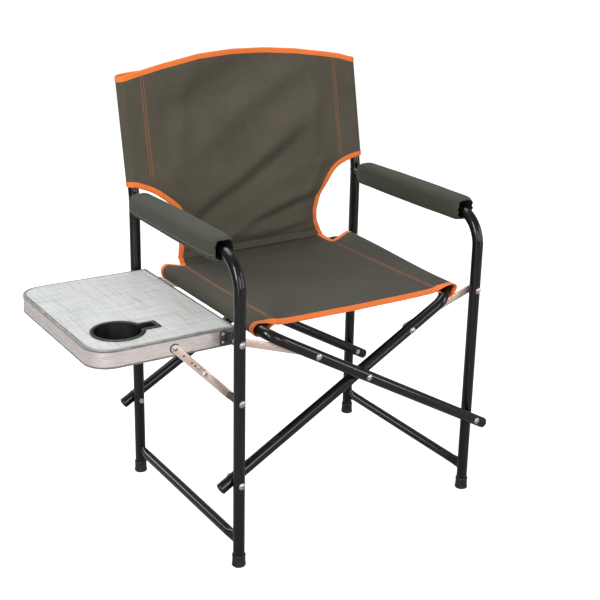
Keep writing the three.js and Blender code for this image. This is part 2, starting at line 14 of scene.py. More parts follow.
import bmesh
import bpy
import numpy as np
from mathutils import Matrix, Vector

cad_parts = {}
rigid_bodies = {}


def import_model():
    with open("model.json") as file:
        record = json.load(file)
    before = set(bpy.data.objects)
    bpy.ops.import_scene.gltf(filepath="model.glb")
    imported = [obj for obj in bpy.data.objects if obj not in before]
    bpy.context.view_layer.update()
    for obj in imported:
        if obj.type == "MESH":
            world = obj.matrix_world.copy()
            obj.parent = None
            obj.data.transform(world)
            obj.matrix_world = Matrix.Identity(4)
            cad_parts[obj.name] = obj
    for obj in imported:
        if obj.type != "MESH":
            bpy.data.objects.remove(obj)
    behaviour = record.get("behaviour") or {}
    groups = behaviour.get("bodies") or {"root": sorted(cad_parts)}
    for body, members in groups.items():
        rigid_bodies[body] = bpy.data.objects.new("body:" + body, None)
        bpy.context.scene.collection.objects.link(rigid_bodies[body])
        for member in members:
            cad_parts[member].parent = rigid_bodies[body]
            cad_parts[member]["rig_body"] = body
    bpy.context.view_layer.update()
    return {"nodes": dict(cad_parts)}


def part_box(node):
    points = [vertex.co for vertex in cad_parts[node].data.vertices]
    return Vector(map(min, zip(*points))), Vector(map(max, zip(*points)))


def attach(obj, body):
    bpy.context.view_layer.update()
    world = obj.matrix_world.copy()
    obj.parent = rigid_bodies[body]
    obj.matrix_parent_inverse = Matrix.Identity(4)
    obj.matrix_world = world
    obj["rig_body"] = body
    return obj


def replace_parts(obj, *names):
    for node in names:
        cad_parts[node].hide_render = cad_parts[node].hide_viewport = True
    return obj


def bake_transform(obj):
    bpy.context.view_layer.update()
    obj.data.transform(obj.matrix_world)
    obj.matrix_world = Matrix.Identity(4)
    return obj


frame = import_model()

log = logging.getLogger("director_chair")
Array = np.ndarray
MM = 0.001


@dataclass(frozen=True)
class Layout:
    """Main sizes of the frame, in chair millimetres and radians."""

    half_width: float = 280.0
    layer: float = 24.0
    front_y: float = -220.0
    rear_y: float = 216.0
    tube_r: float = 11.0
    rail_r: float = 9.5
    arm_z: float = 605.5
    arm_bend_r: float = 66.0
    post_bend_z: float = 615.0
    post_bend_r: float = 120.0
    post_lean: float = math.radians(11.5)
    post_top_z: float = 846.0
    lower_rail_z: float = 52.0
    pivot_z: float = 170.0
    centre_z: float = 328.0
    rail_reach: float = 254.8
    seat_bend_r: float = 44.0
    tube_end: float = 28.0

    @property
    def cross_angle(self) -> float:
        """Slope of the crossed seat frames."""
        return math.atan2(self.centre_z - self.pivot_z, self.half_width)

    def on_seat_frame(self, side: int, reach: float, y: float) -> Array:
        """Point on a seat frame's line, at a reach from the centre pivot towards its seat rail."""
        c, s = math.cos(self.cross_angle), math.sin(self.cross_angle)
        return np.array([side * reach * c, y, self.centre_z + reach * s])

    @property
    def cross_length(self) -> float:
        """Length from the centre pivot to a lower pivot."""
        return math.hypot(self.half_width, self.centre_z - self.pivot_z)

    def origin(self) -> Array:
        """Row-frame place of the chair's own origin, in millimetres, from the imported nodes."""
        table = sum(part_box("leg_and_arm_table_side")[i].x for i in (0, 1)) / 2
        plain = sum(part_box("leg_and_arm_plain_side")[i].x for i in (0, 1)) / 2
        foot = sum(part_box("foot_table_side_front")[i].y for i in (0, 1)) / 2
        return np.array([(table + plain) / 2, foot, 0.0]) / MM - np.array([0.0, self.front_y, 0.0])


LAYOUT = Layout()
ORIGIN = LAYOUT.origin()


class Side(Enum):
    """The two side frames: the table's, and the plain one, which stands one layer back."""

    TABLE = -1
    PLAIN = 1

    @property
    def label(self) -> str:
        """Name used in the nodes of the side frames."""
        return "table_side" if self is Side.TABLE else "plain_side"

    @property
    def letter(self) -> str:
        """Name of the seat frame whose rail is on this side."""
        return "a" if self is Side.TABLE else "b"

    @property
    def shift(self) -> float:
        """How far back this side's tubes stand."""
        return 0.0 if self is Side.TABLE else LAYOUT.layer


# ---- Node trees -----------------------------------------------------------------------------
class Tree:
    """A thin helper that adds nodes to a shader tree and links them."""

    def __init__(self, tree: bpy.types.NodeTree) -> None:
        """Keeps the tree that nodes are added to."""
        self.tree = tree

    def node(self, kind: str, inputs: dict | None = None, **settings: object) -> bpy.types.Node:
        """Adds a node.

        Args:
            kind: Node type, without the ShaderNode prefix.
            inputs: Values or sockets by input name or index.
            settings: Attributes of the node.
        Returns:
            The node.
        """
        made = self.tree.nodes.new("ShaderNode" + kind)
        for name, value in settings.items():
            setattr(made, name, value)
        for name, value in (inputs or {}).items():
            self.feed(made.inputs[name], value)
        return made

    def feed(self, socket: bpy.types.NodeSocket, value: object) -> None:
        """Links a socket to a socket, or sets its value."""
        if isinstance(value, bpy.types.NodeSocket):
            self.tree.links.new(value, socket)
        else:
            socket.default_value = value

    def math(self, operation: str, *values: object) -> bpy.types.NodeSocket:
        """Result of a Math node."""
        return self.node("Math", dict(enumerate(values)), operation=operation).outputs[0]

    def vector(self, operation: str, *values: object) -> bpy.types.NodeSocket:
        """Result of a Vector Math node."""
        return self.node("VectorMath", dict(enumerate(values)), operation=operation).outputs[0]

    def ramp(self, value: object, low: float, high: float) -> bpy.types.NodeSocket:
        """Value mapped from low..high to 0..1 and held there."""
        made = self.node("MapRange", {0: value, 1: low, 2: high, 3: 0.0, 4: 1.0})
        made.interpolation_type = "SMOOTHSTEP"
        return made.outputs[0]

    def mix(self, share: object, first: object, second: object) -> bpy.types.NodeSocket:
        """Colour between two others."""
        made = self.node("Mix", data_type="RGBA")
        self.feed(made.inputs[0], share)
        self.feed(made.inputs[6], first)
        self.feed(made.inputs[7], second)
        return made.outputs[2]


def colour(red: int, green: int, blue: int) -> tuple[float, float, float, float]:
    """Linear colour of a display colour given in 0..255."""
    linear = [(c / 255 / 12.92) if c <= 10 else ((c / 255 + 0.055) / 1.055) ** 2.4
              for c in (red, green, blue)]
    return (*linear, 1.0)


def new_group(name: str, inputs: dict[str, tuple[str, object]], outputs: dict[str, str]
              ) -> tuple[bpy.types.NodeTree, Tree, dict, dict]:
    """Starts a node group with named sockets.

    Args:
        name: The group's name.
        inputs: Socket type and default by input name.
        outputs: Socket type by output name.
    Returns:
        The group, its tree helper, its input sockets and its output sockets by name.
    """
    group = bpy.data.node_groups.new(name, "ShaderNodeTree")
    for key, (kind, default) in inputs.items():
        made = group.interface.new_socket(key, in_out="INPUT", socket_type="NodeSocket" + kind)
        if default is not None:
            made.default_value = default
    for key, kind in outputs.items():
        group.interface.new_socket(key, in_out="OUTPUT", socket_type="NodeSocket" + kind)
    tree = Tree(group)
    start, end = group.nodes.new("NodeGroupInput"), group.nodes.new("NodeGroupOutput")
    return group, tree, {k: start.outputs[k] for k in inputs}, {k: end.inputs[k] for k in outputs}


class Effects:
    """The shared shader groups, each built once."""

    def __init__(self) -> None:
        """Builds every group."""
        self.weave = self.build_weave()
        self.mottle = self.build_mottle()
        self.brushed = self.build_brushed()
        self.wear = self.build_wear()
        self.dust = self.build_dust()

    def build_weave(self) -> bpy.types.NodeTree:
        """Plain weave: crossing threads, each a rounded rib that dips where it goes under."""
        group, t, i, o = new_group(
            "cloth_weave",
            {"Vector": ("Vector", None), "Threads": ("Float", 900.0), "Slub": ("Float", 0.4)},
            {"Height": "Float", "Shade": "Float"})
        scaled = t.node("VectorMath", {0: i["Vector"], 3: i["Threads"]},
                        operation="SCALE").outputs[0]
        bend = t.node("TexNoise", {"Vector": i["Vector"], "Scale": 55.0, "Detail": 1.0})
        moved = t.vector("ADD", scaled, t.node(
            "VectorMath", {0: bend.outputs["Color"], 3: i["Slub"]}, operation="SCALE").outputs[0])
        parts = t.node("SeparateXYZ", {0: moved}).outputs
        warp = t.math("SINE", t.math("MULTIPLY", parts[0], math.pi))
        weft = t.math("SINE", t.math("MULTIPLY", parts[1], math.pi))
        over = t.math("MULTIPLY", warp, weft)
        ribs = t.math("ADD", t.math("ABSOLUTE", warp), t.math("ABSOLUTE", weft))
        height = t.math("MULTIPLY_ADD", over, 0.35, t.math("MULTIPLY", ribs, 0.5))
        t.feed(o["Height"], height)
        t.feed(o["Shade"], t.ramp(height, 0.1, 1.2))
        return group

    def build_mottle(self) -> bpy.types.NodeTree:
        """Uneven tone: two sizes of noise mixed into one factor."""
        group, t, i, o = new_group(
            "uneven_tone", {"Vector": ("Vector", None), "Size": ("Float", 12.0)},
            {"Factor": "Float"})
        broad = t.node("TexNoise", {"Vector": i["Vector"], "Scale": i["Size"], "Detail": 3.0})
        fine = t.node("TexNoise", {
            "Vector": i["Vector"], "Scale": t.math("MULTIPLY", i["Size"], 9.0), "Detail": 2.0})
        both = t.math("MULTIPLY_ADD", fine.outputs[0], 0.35,
                      t.math("MULTIPLY", broad.outputs[0], 0.65))
        t.feed(o["Factor"], t.ramp(both, 0.32, 0.68))
        return group

    def build_brushed(self) -> bpy.types.NodeTree:
        """Brushed metal: noise drawn out along the grain."""
        group, t, i, o = new_group(
            "brushed_metal", {"Vector": ("Vector", None), "Grain": ("Vector", (1.0, 1.0, 1.0))},
            {"Height": "Float", "Factor": "Float"})
        noise = t.node("TexNoise", {
            "Vector": t.vector("MULTIPLY", i["Vector"], i["Grain"]), "Scale": 1.0, "Detail": 4.0})
        t.feed(o["Height"], noise.outputs[0])
        t.feed(o["Factor"], t.ramp(noise.outputs[0], 0.3, 0.7))
        return group

    def build_wear(self) -> bpy.types.NodeTree:
        """Edge wear: sharp outer edges, broken up by noise."""
        group, t, i, o = new_group(
            "edge_wear", {"Vector": ("Vector", None), "Amount": ("Float", 0.5)}, {"Mask": "Float"})
        edge = t.ramp(t.node("NewGeometry").outputs["Pointiness"], 0.53, 0.6)
        noise = t.node("TexNoise", {"Vector": i["Vector"], "Scale": 160.0, "Detail": 3.0})
        broken = t.math("MULTIPLY", edge, t.ramp(noise.outputs[0], 0.42, 0.6))
        t.feed(o["Mask"], t.math("MULTIPLY", broken, i["Amount"]))
        return group

    def build_dust(self) -> bpy.types.NodeTree:
        """Dust: settles on faces that look up, in uneven patches."""
        group, t, i, o = new_group(
            "fine_dust", {"Vector": ("Vector", None), "Amount": ("Float", 0.3)}, {"Mask": "Float"})
        up = t.node("SeparateXYZ", {0: t.node("NewGeometry").outputs["Normal"]}).outputs[2]
        noise = t.node("TexNoise", {"Vector": i["Vector"], "Scale": 240.0, "Detail": 4.0})
        patch = t.math("MULTIPLY", t.ramp(up, 0.2, 1.0), t.ramp(noise.outputs[0], 0.45, 0.75))
        t.feed(o["Mask"], t.math("MULTIPLY", patch, i["Amount"]))
        return group


class Finishes:
    """Every material of the chair, each built the first time that it is asked for."""

    def __init__(self) -> None:
        """Builds the shared effects."""
        self.effects = Effects()
        self.made: dict[str, bpy.types.Material] = {}

    def start(self, name: str, **sockets: object
              ) -> tuple[bpy.types.Material, Tree, bpy.types.Node]:
        """Starts a material whose Principled shader has constant values on its own sockets.

        Args:
            name: The material's name.
            sockets: Values by socket name, with _ for spaces.
        Returns:
            The material, its tree helper and its shader.
        """
        material = bpy.data.materials.new(name)
        material.use_nodes = True
        tree = Tree(material.node_tree)
        shader = material.node_tree.nodes["Principled BSDF"]
        for key, value in sockets.items():
            shader.inputs[key.replace("_", " ")].default_value = value
        return material, tree, shader

    def place(self, tree: Tree, uv: bool = False) -> bpy.types.NodeSocket:
        """Object coordinates, or the piece's own map where the pattern follows the surface."""
        return tree.node("TexCoord").outputs["UV" if uv else "Object"]

    def use(self, tree: Tree, group: bpy.types.NodeTree, **inputs: object) -> bpy.types.Node:
        """Places a shared effect with its own values."""
        made = tree.tree.nodes.new("ShaderNodeGroup")
        made.node_tree = group
        for key, value in inputs.items():
            tree.feed(made.inputs[key], value)
        return made

    def bump(self, tree: Tree, shader: bpy.types.Node, height: object, distance: float,
             strength: float = 1.0) -> None:
        """Feeds a height into the shader's normal."""
        made = tree.node("Bump", {"Height": height, "Distance": distance, "Strength": strength})
        tree.feed(shader.inputs["Normal"], made.outputs[0])

    def get(self, name: str) -> bpy.types.Material:
        """The named material."""
        if name not in self.made:
            self.made[name] = getattr(self, name)()
        return self.made[name]

    def frame_paint(self) -> bpy.types.Material:
        """Gloss black powder coat: fine orange peel, faint dust, worn at sharp edges."""
        m, t, s = self.start("frame_paint", Coat_Weight=0.45, Coat_Roughness=0.05,
                             Specular_IOR_Level=0.2)
        at = self.place(t)
        dust = self.use(t, self.effects.dust, Vector=at, Amount=0.004)
        tone = self.use(t, self.effects.mottle, Vector=at, Size=30.0)
        wear = self.use(t, self.effects.wear, Vector=at, Amount=0.02)
        base = t.mix(tone.outputs[0], colour(7, 5, 6), colour(9, 7, 8))
        base = t.mix(dust.outputs[0], base, colour(120, 116, 112))
        t.feed(s.inputs["Base Color"], t.mix(wear.outputs[0], base, colour(90, 88, 86)))
        t.feed(s.inputs["Roughness"], t.math("MULTIPLY_ADD", tone.outputs[0], 0.03, 0.30))
        peel = t.node("TexNoise", {"Vector": at, "Scale": 500.0, "Detail": 1.0})
        self.bump(t, s, peel.outputs[0], 0.00001, 0.1)
        return m

    def black_plastic(self) -> bpy.types.Material:
        """Moulded black plastic with a fine spark texture."""
        m, t, s = self.start("black_plastic", Specular_IOR_Level=0.5)
        at = self.place(t)
        dust = self.use(t, self.effects.dust, Vector=at, Amount=0.25)
        tone = self.use(t, self.effects.mottle, Vector=at, Size=60.0)
        base = t.mix(tone.outputs[0], colour(17, 17, 18), colour(27, 27, 28))
        t.feed(s.inputs["Base Color"], t.mix(dust.outputs[0], base, colour(105, 103, 100)))
        t.feed(s.inputs["Roughness"], t.math("MULTIPLY_ADD", tone.outputs[0], 0.15, 0.36))
        grain = t.node("TexVoronoi", {"Vector": at, "Scale": 1500.0})
        self.bump(t, s, grain.outputs[0], 0.0002, 0.3)
        return m

    def zinc(self) -> bpy.types.Material:
        """Zinc-plated fasteners with a faint uneven haze and lighter worn edges."""
        m, t, s = self.start("zinc_plate", Metallic=1.0)
        at = self.place(t)
        tone = self.use(t, self.effects.mottle, Vector=at, Size=220.0)
        wear = self.use(t, self.effects.wear, Vector=at, Amount=0.6)
        base = t.mix(tone.outputs[0], colour(158, 161, 166), colour(214, 215, 216))
        t.feed(s.inputs["Base Color"], t.mix(wear.outputs[0], base, colour(236, 236, 234)))
        t.feed(s.inputs["Roughness"], t.math("MULTIPLY_ADD", tone.outputs[0], 0.18, 0.20))
        return m

    def metal(self, name: str, dark: tuple, light: tuple, grain: tuple, rough: float
              ) -> bpy.types.Material:
        """Bare metal with a brushed grain.

        Args:
            name: The material's name.
            dark: Colour in the grain's hollows.
            light: Colour on its crests.
            grain: How finely the grain repeats along X, Y and Z.
            rough: Roughness on the crests.
        Returns:
            The material.
        """
        m, t, s = self.start(name, Metallic=0.75, Anisotropic=0.3)
        at = self.place(t)
        brushed = self.use(t, self.effects.brushed, Vector=at, Grain=grain)
        tone = self.use(t, self.effects.mottle, Vector=at, Size=18.0)
        wear = self.use(t, self.effects.wear, Vector=at, Amount=0.05)
        base = t.mix(brushed.outputs[1], dark, light)
        base = t.mix(t.math("MULTIPLY", tone.outputs[0], 0.35), base, dark)
        t.feed(s.inputs["Base Color"], t.mix(wear.outputs[0], base, colour(240, 240, 238)))
        t.feed(s.inputs["Roughness"], t.math("MULTIPLY_ADD", brushed.outputs[1], 0.14, rough))
        self.bump(t, s, brushed.outputs[0], 0.0001, 0.35)
        return m

    def table_metal(self) -> bpy.types.Material:
        """Brushed aluminium of the table's frame."""
        return self.metal("brushed_aluminium", colour(204, 192, 190), colour(255, 248, 246),
                          (60.0, 60.0, 2600.0), 0.26)

    def lip_metal(self) -> bpy.types.Material:
        """A darker copy of the frame's aluminium: painted shade on its lip and lower edge."""
        return self.metal("shaded_aluminium", colour(104, 105, 104), colour(168, 169, 167),
                          (60.0, 60.0, 2600.0), 0.42)

    def bar_metal(self) -> bpy.types.Material:
        """Mill-finish aluminium of the links and struts."""
        return self.metal("bar_aluminium", colour(206, 182, 170), colour(252, 234, 222),
                          (2200.0, 60.0, 2200.0), 0.30)

    def dark_steel(self) -> bpy.types.Material:
        """Dark plated steel of the brackets and bosses."""
        return self.metal("dark_steel", colour(62, 60, 60), colour(120, 116, 114),
                          (300.0, 300.0, 1800.0), 0.32)

    def laminate(self) -> bpy.types.Material:
        """Pale grey laminate printed as linen: threads both ways, of uneven strength."""
        m, t, s = self.start("linen_laminate", Specular_IOR_Level=0.5, Coat_Weight=0.25,
                             Coat_Roughness=0.25)
        at = self.place(t)
        along = t.node("TexNoise", {
            "Vector": t.vector("MULTIPLY", at, (11.0, 560.0, 1.0)), "Scale": 1.0, "Detail": 2.0})
        across = t.node("TexNoise", {
            "Vector": t.vector("MULTIPLY", at, (560.0, 11.0, 1.0)), "Scale": 1.0, "Detail": 2.0})
        threads = t.math("ADD", t.ramp(along.outputs[0], 0.50, 0.70),
                         t.ramp(across.outputs[0], 0.50, 0.70))
        tone = self.use(t, self.effects.mottle, Vector=at, Size=9.0)
        base = t.mix(t.math("MULTIPLY", threads, 0.45), colour(210, 213, 211),
                     colour(124, 131, 131))
        t.feed(s.inputs["Base Color"],
               t.mix(t.math("MULTIPLY", tone.outputs[0], 0.3), base, colour(182, 184, 182)))
        t.feed(s.inputs["Roughness"], t.math("MULTIPLY_ADD", threads, 0.08, 0.34))
        self.bump(t, s, threads, 0.0001, 0.4)
        return m

    def cloth(self, name: str, dark: tuple, light: tuple, threads: float, sheen: float,
              depth: float) -> bpy.types.Material:
        """Woven cloth: thread relief, tone that drifts, and a soft sheen.

        Args:
            name: The material's name.
            dark: Colour between the threads.
            light: Colour on the threads.
            threads: Threads in a metre.
            sheen: Weight of the sheen.
            depth: Relief of the weave, in metres.
        Returns:
            The material.
        """
        m, t, s = self.start(name, Sheen_Weight=sheen, Sheen_Roughness=0.45,
                             Specular_IOR_Level=0.3)
        at = self.place(t, uv=True)
        weave = self.use(t, self.effects.weave, Vector=at, Threads=threads, Slub=0.5)
        tone = self.use(t, self.effects.mottle, Vector=at, Size=7.0)
        fleck = t.node("TexNoise", {"Vector": at, "Scale": 900.0, "Detail": 2.0})
        share = t.math("MULTIPLY_ADD", weave.outputs["Shade"], 0.55,
                       t.math("MULTIPLY", fleck.outputs[0], 0.45))
        base = t.mix(share, dark, light)
        darker = tuple(0.8 * c for c in dark[:3]) + (1.0,)
        t.feed(s.inputs["Base Color"],
               t.mix(t.math("MULTIPLY", tone.outputs[0], 0.22), base, darker))
        t.feed(s.inputs["Roughness"], t.math("MULTIPLY_ADD", share, -0.12, 0.82))
        self.bump(t, s, weave.outputs["Height"], depth, 0.8)
        return m

    def seat_fabric(self) -> bpy.types.Material:
        """Dark olive canvas of the seat."""
        return self.cloth("seat_canvas", colour(34, 35, 27), colour(91, 88, 74), 700.0, 0.05,
                          0.0005)

    def back_fabric(self) -> bpy.types.Material:
        """The seat canvas again, lighter and browner: painted light for the more brightly lit back.
        """
        return self.cloth("back_canvas", colour(45, 42, 33), colour(106, 100, 85), 700.0, 0.05,
                          0.0005)

    def arm_fabric(self) -> bpy.types.Material:
        """Greener cloth of the arm pads."""
        return self.cloth("pad_cloth", colour(36, 38, 31), colour(80, 81, 69), 900.0, 0.06, 0.0002)

    def sleeve_lining(self) -> bpy.types.Material:
        """Near-black cloth: painted shade inside the arm pads' ends and along their flap's slit."""
        return self.cloth("pad_mouth_shade", colour(8, 8, 8), colour(20, 19, 18), 800.0, 0.0, 0.0002)

    def binding(self) -> bpy.types.Material:
        """Orange binding tape with a close cross rib."""
        m, t, s = self.start("binding_tape", Sheen_Weight=0.15, Specular_IOR_Level=0.3)
        at = self.place(t, uv=True)
        weave = self.use(t, self.effects.weave, Vector=at, Threads=1100.0, Slub=0.3)
        tone = self.use(t, self.effects.mottle, Vector=at, Size=40.0)
        base = t.mix(weave.outputs["Shade"], colour(206, 92, 28), colour(250, 140, 62))
        t.feed(s.inputs["Base Color"],
               t.mix(t.math("MULTIPLY", tone.outputs[0], 0.25), base, colour(226, 104, 30)))
        t.feed(s.inputs["Roughness"], t.math("MULTIPLY_ADD", weave.outputs["Shade"], -0.1, 0.72))
        self.bump(t, s, weave.outputs["Height"], 0.0003, 0.7)
        return m

    def thread(self, name: str, dark: tuple, light: tuple) -> bpy.types.Material:
        """Twisted sewing thread in two tones of one colour."""
        m, t, s = self.start(name, Sheen_Weight=0.2)
        at = self.place(t)
        twist = t.node("TexNoise", {"Vector": at, "Scale": 1400.0, "Detail": 1.0})
        t.feed(s.inputs["Base Color"], t.mix(t.ramp(twist.outputs[0], 0.4, 0.6), dark, light))
        t.feed(s.inputs["Roughness"], t.math("MULTIPLY_ADD", twist.outputs[0], 0.2, 0.5))
        return m

    def orange_thread(self) -> bpy.types.Material:
        """Orange topstitching."""
        return self.thread("orange_thread", colour(196, 98, 40), colour(240, 138, 62))

    def tan_thread(self) -> bpy.types.Material:
        """Tan stitching of the arm pads."""
        return self.thread("tan_thread", colour(120, 98, 66), colour(168, 142, 102))


# ---- Meshes ---------------------------------------------------------------------------------
class Skin:
    """Collects the surfaces of one piece, in chair millimetres, and makes one mesh of them."""

    def __init__(self) -> None:
        """Starts with nothing."""
        self.points: list[Array] = []
        self.faces: list[list[int]] = []
        self.maps: list[Array] = []
        self.count = 0

    def grid(self, points: Array, wrap: tuple[bool, bool] = (False, False),
             chart: Array | None = None, caps: tuple[bool, bool] = (False, False)) -> "Skin":
        """Adds a surface given as a grid of points.

        Args:
            points: Rows by columns by 3.
            wrap: Whether rows, and columns, close on themselves.
            chart: Map coordinates in metres, with one more row or column where the grid wraps.
            caps: Whether the first and the last row are closed by a flat face.
        Returns:
            This skin.
        """
        rows, columns = points.shape[:2]
        index = np.arange(rows * columns).reshape(rows, columns) + self.count
        full = np.vstack([index, index[:1]]) if wrap[0] else index
        full = np.hstack([full, full[:, :1]]) if wrap[1] else full
        corners = [full[:-1, :-1], full[1:, :-1], full[1:, 1:], full[:-1, 1:]]
        if chart is None:
            chart = np.stack(np.meshgrid(np.arange(full.shape[0]), np.arange(full.shape[1]),
                                         indexing="ij"), -1) * MM
        parts = [chart[:-1, :-1], chart[1:, :-1], chart[1:, 1:], chart[:-1, 1:]]
        self.faces += np.stack(corners, -1).reshape(-1, 4).tolist()
        self.maps.append(np.stack(parts, 2).reshape(-1, 2))
        for wanted, row in zip(caps, (index[0], index[-1])):
            if wanted:
                self.faces.append(row.tolist())
                self.maps.append(np.zeros((columns, 2)))
        self.points.append(points.reshape(-1, 3))
        self.count += rows * columns
        return self

    def build(self, name: str, sharp: float = 38.0, wall: float = 0.0) -> bpy.types.Object:
        """Makes the object, in the row frame.

        Args:
            name: The piece's name.
            sharp: Angle in degrees past which an edge shows as an edge.
            wall: Thickness in millimetres given to an open sheet, or 0.
        Returns:
            The object.
        """
        mesh = bpy.data.meshes.new(name)
        places = (np.vstack(self.points) + ORIGIN) * MM
        mesh.from_pydata(places.tolist(), [], self.faces)
        mesh.uv_layers.new(name="cloth_map").data.foreach_set(
            "uv", np.vstack(self.maps).astype(np.float32).ravel())
        piece = bpy.data.objects.new(name, mesh)
        bpy.context.scene.collection.objects.link(piece)
        self.tidy(mesh)
        if wall:
            solid = piece.modifiers.new("wall", "SOLIDIFY")
            solid.thickness, solid.offset, solid.use_even_offset = wall * MM, 0.0, False
            mesh = bpy.data.meshes.new_from_object(
                piece.evaluated_get(bpy.context.evaluated_depsgraph_get()))
            piece.modifiers.clear()
            piece.data = mesh
            self.tidy(mesh)
        mesh.polygons.foreach_set("use_smooth", np.ones(len(mesh.polygons), bool))
        mesh.set_sharp_from_angle(angle=math.radians(sharp))
        return piece

    @staticmethod
    def tidy(mesh: bpy.types.Mesh) -> None:
        """Merges doubled points and turns every face outwards."""
        work = bmesh.new()
        work.from_mesh(mesh)
        bmesh.ops.remove_doubles(work, verts=work.verts, dist=2e-6)
        bmesh.ops.recalc_face_normals(work, faces=work.faces)
        work.to_mesh(mesh)
        work.free()


def unit(vectors: Array) -> Array:
    """Vectors divided by their lengths."""
    return vectors / np.maximum(np.linalg.norm(vectors, axis=-1, keepdims=True), 1e-12)


def smooth_step(values: Array, low: float, high: float) -> Array:
    """3t^2 - 2t^3, where t runs from 0 at low to 1 at high."""
    t = np.clip((values - low) / (high - low), 0, 1)
    return t * t * (3 - 2 * t)


def run_lengths(points: Array) -> Array:
    """Length along a line of points, from its start."""
    steps = np.linalg.norm(np.diff(points, axis=0), axis=-1)
    return np.concatenate([[0.0], np.cumsum(steps)])


def bent_path(corners: Sequence[Sequence[float]], radius: float, steps: int = 14) -> Array:
    """Corner points joined by straight runs and tangent arcs of one radius."""
    line = [np.array(c, float) for c in corners]
    found = [line[0][None]]
    for before, here, after in zip(line, line[1:], line[2:]):
        back, ahead = unit(before - here), unit(after - here)
        half = math.acos(float(np.clip(back @ ahead, -1, 1))) / 2
        centre = here + unit(back + ahead) * radius / math.sin(half)
        start = here + back * radius / math.tan(half) - centre
        end = here + ahead * radius / math.tan(half) - centre
        sweep = math.pi - 2 * half
        t = np.linspace(0, 1, steps)[:, None]
        arc = start * np.sin((1 - t) * sweep) + end * np.sin(t * sweep)
        found.append(centre + arc / math.sin(sweep))
    return np.vstack([*found, line[-1][None]])


def tangents(path: Array) -> Array:
    """Directions of a path: the mean of the unit steps before and after each point."""
    steps = unit(np.diff(path, axis=0))
    return unit(np.vstack([steps[:1], steps[:-1] + steps[1:], steps[-1:]]))


def circle(count: int) -> Array:
    """Unit circle as rows of cosine and sine."""
    angle = np.linspace(0, 2 * np.pi, count, endpoint=False)
    return np.stack([np.cos(angle), np.sin(angle)], -1)


def carried(path: Array, normal: Array, section: Array) -> Array:
    """A section carried along a flat path: path + a * normal + b * (tangent x normal)."""
    across = unit(np.cross(tangents(path), normal))
    return (path[:, None] + section[..., 0:1] * np.asarray(normal, float)
            + section[..., 1:2] * across[:, None])


def turned(profile: Array, at: Array, axis: Array, count: int = 48,
           ripple: Callable[[Array, Array], Array] | None = None) -> Array:
    """A profile of radius and height turned about an axis.

    Args:
        profile: Rows of radius and height.
        at: Place of height 0.
        axis: Direction of height.
        count: Points round the axis.
        ripple: Added height as a function of the two offsets across the axis.
    Returns:
        Points, profile by turn by 3.
    """
    axis = unit(np.asarray(axis, float))
    helper = np.array([0.0, 0.0, 1.0]) if abs(axis[2]) < 0.9 else np.array([1.0, 0.0, 0.0])
    first = unit(np.cross(helper, axis))
    second = np.cross(axis, first)
    a, b = profile[:, :1] * circle(count)[:, 0], profile[:, :1] * circle(count)[:, 1]
    height = np.broadcast_to(profile[:, 1:2], a.shape)
    if ripple is not None:
        height = height + ripple(a, b)
    return np.asarray(at) + a[..., None] * first + b[..., None] * second + height[..., None] * axis


def box_of(node: str) -> tuple[Array, Array]:
    """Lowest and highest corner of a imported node, in chair millimetres."""
    low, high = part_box(node)
    return np.array(low) / MM - ORIGIN, np.array(high) / MM - ORIGIN


def middle_of(node: str) -> Array:
    """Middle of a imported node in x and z."""
    return sum(box_of(node))[[0, 2]] / 2


def body_of(node: str) -> str:
    """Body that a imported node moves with."""
    return frame["nodes"][node]["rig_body"]


class Workshop:
    """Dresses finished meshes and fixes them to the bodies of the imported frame."""

    def __init__(self) -> None:
        """Builds the finishes and counts the pieces."""
        self.finishes = Finishes()
        self.pieces = 0

    def dress(self, piece: bpy.types.Object, finish: str, slot: str) -> bpy.types.Object:
        """Gives a piece its material."""
        piece.data.materials.append(self.finishes.get(finish))
        self.pieces += 1
        log.info("%s: %d faces in %s", piece.name, len(piece.data.polygons), finish)
        return piece

    def fix(self, piece: bpy.types.Object, finish: str, slot: str, *nodes: str,
            body: str | None = None) -> bpy.types.Object:
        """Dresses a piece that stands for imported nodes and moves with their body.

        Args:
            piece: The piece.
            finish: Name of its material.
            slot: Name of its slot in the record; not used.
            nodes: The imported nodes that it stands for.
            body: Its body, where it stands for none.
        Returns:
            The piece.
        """
        self.dress(piece, finish, slot)
        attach(piece, body or body_of(nodes[0]))
        if nodes:
            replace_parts(piece, *nodes)
        return piece


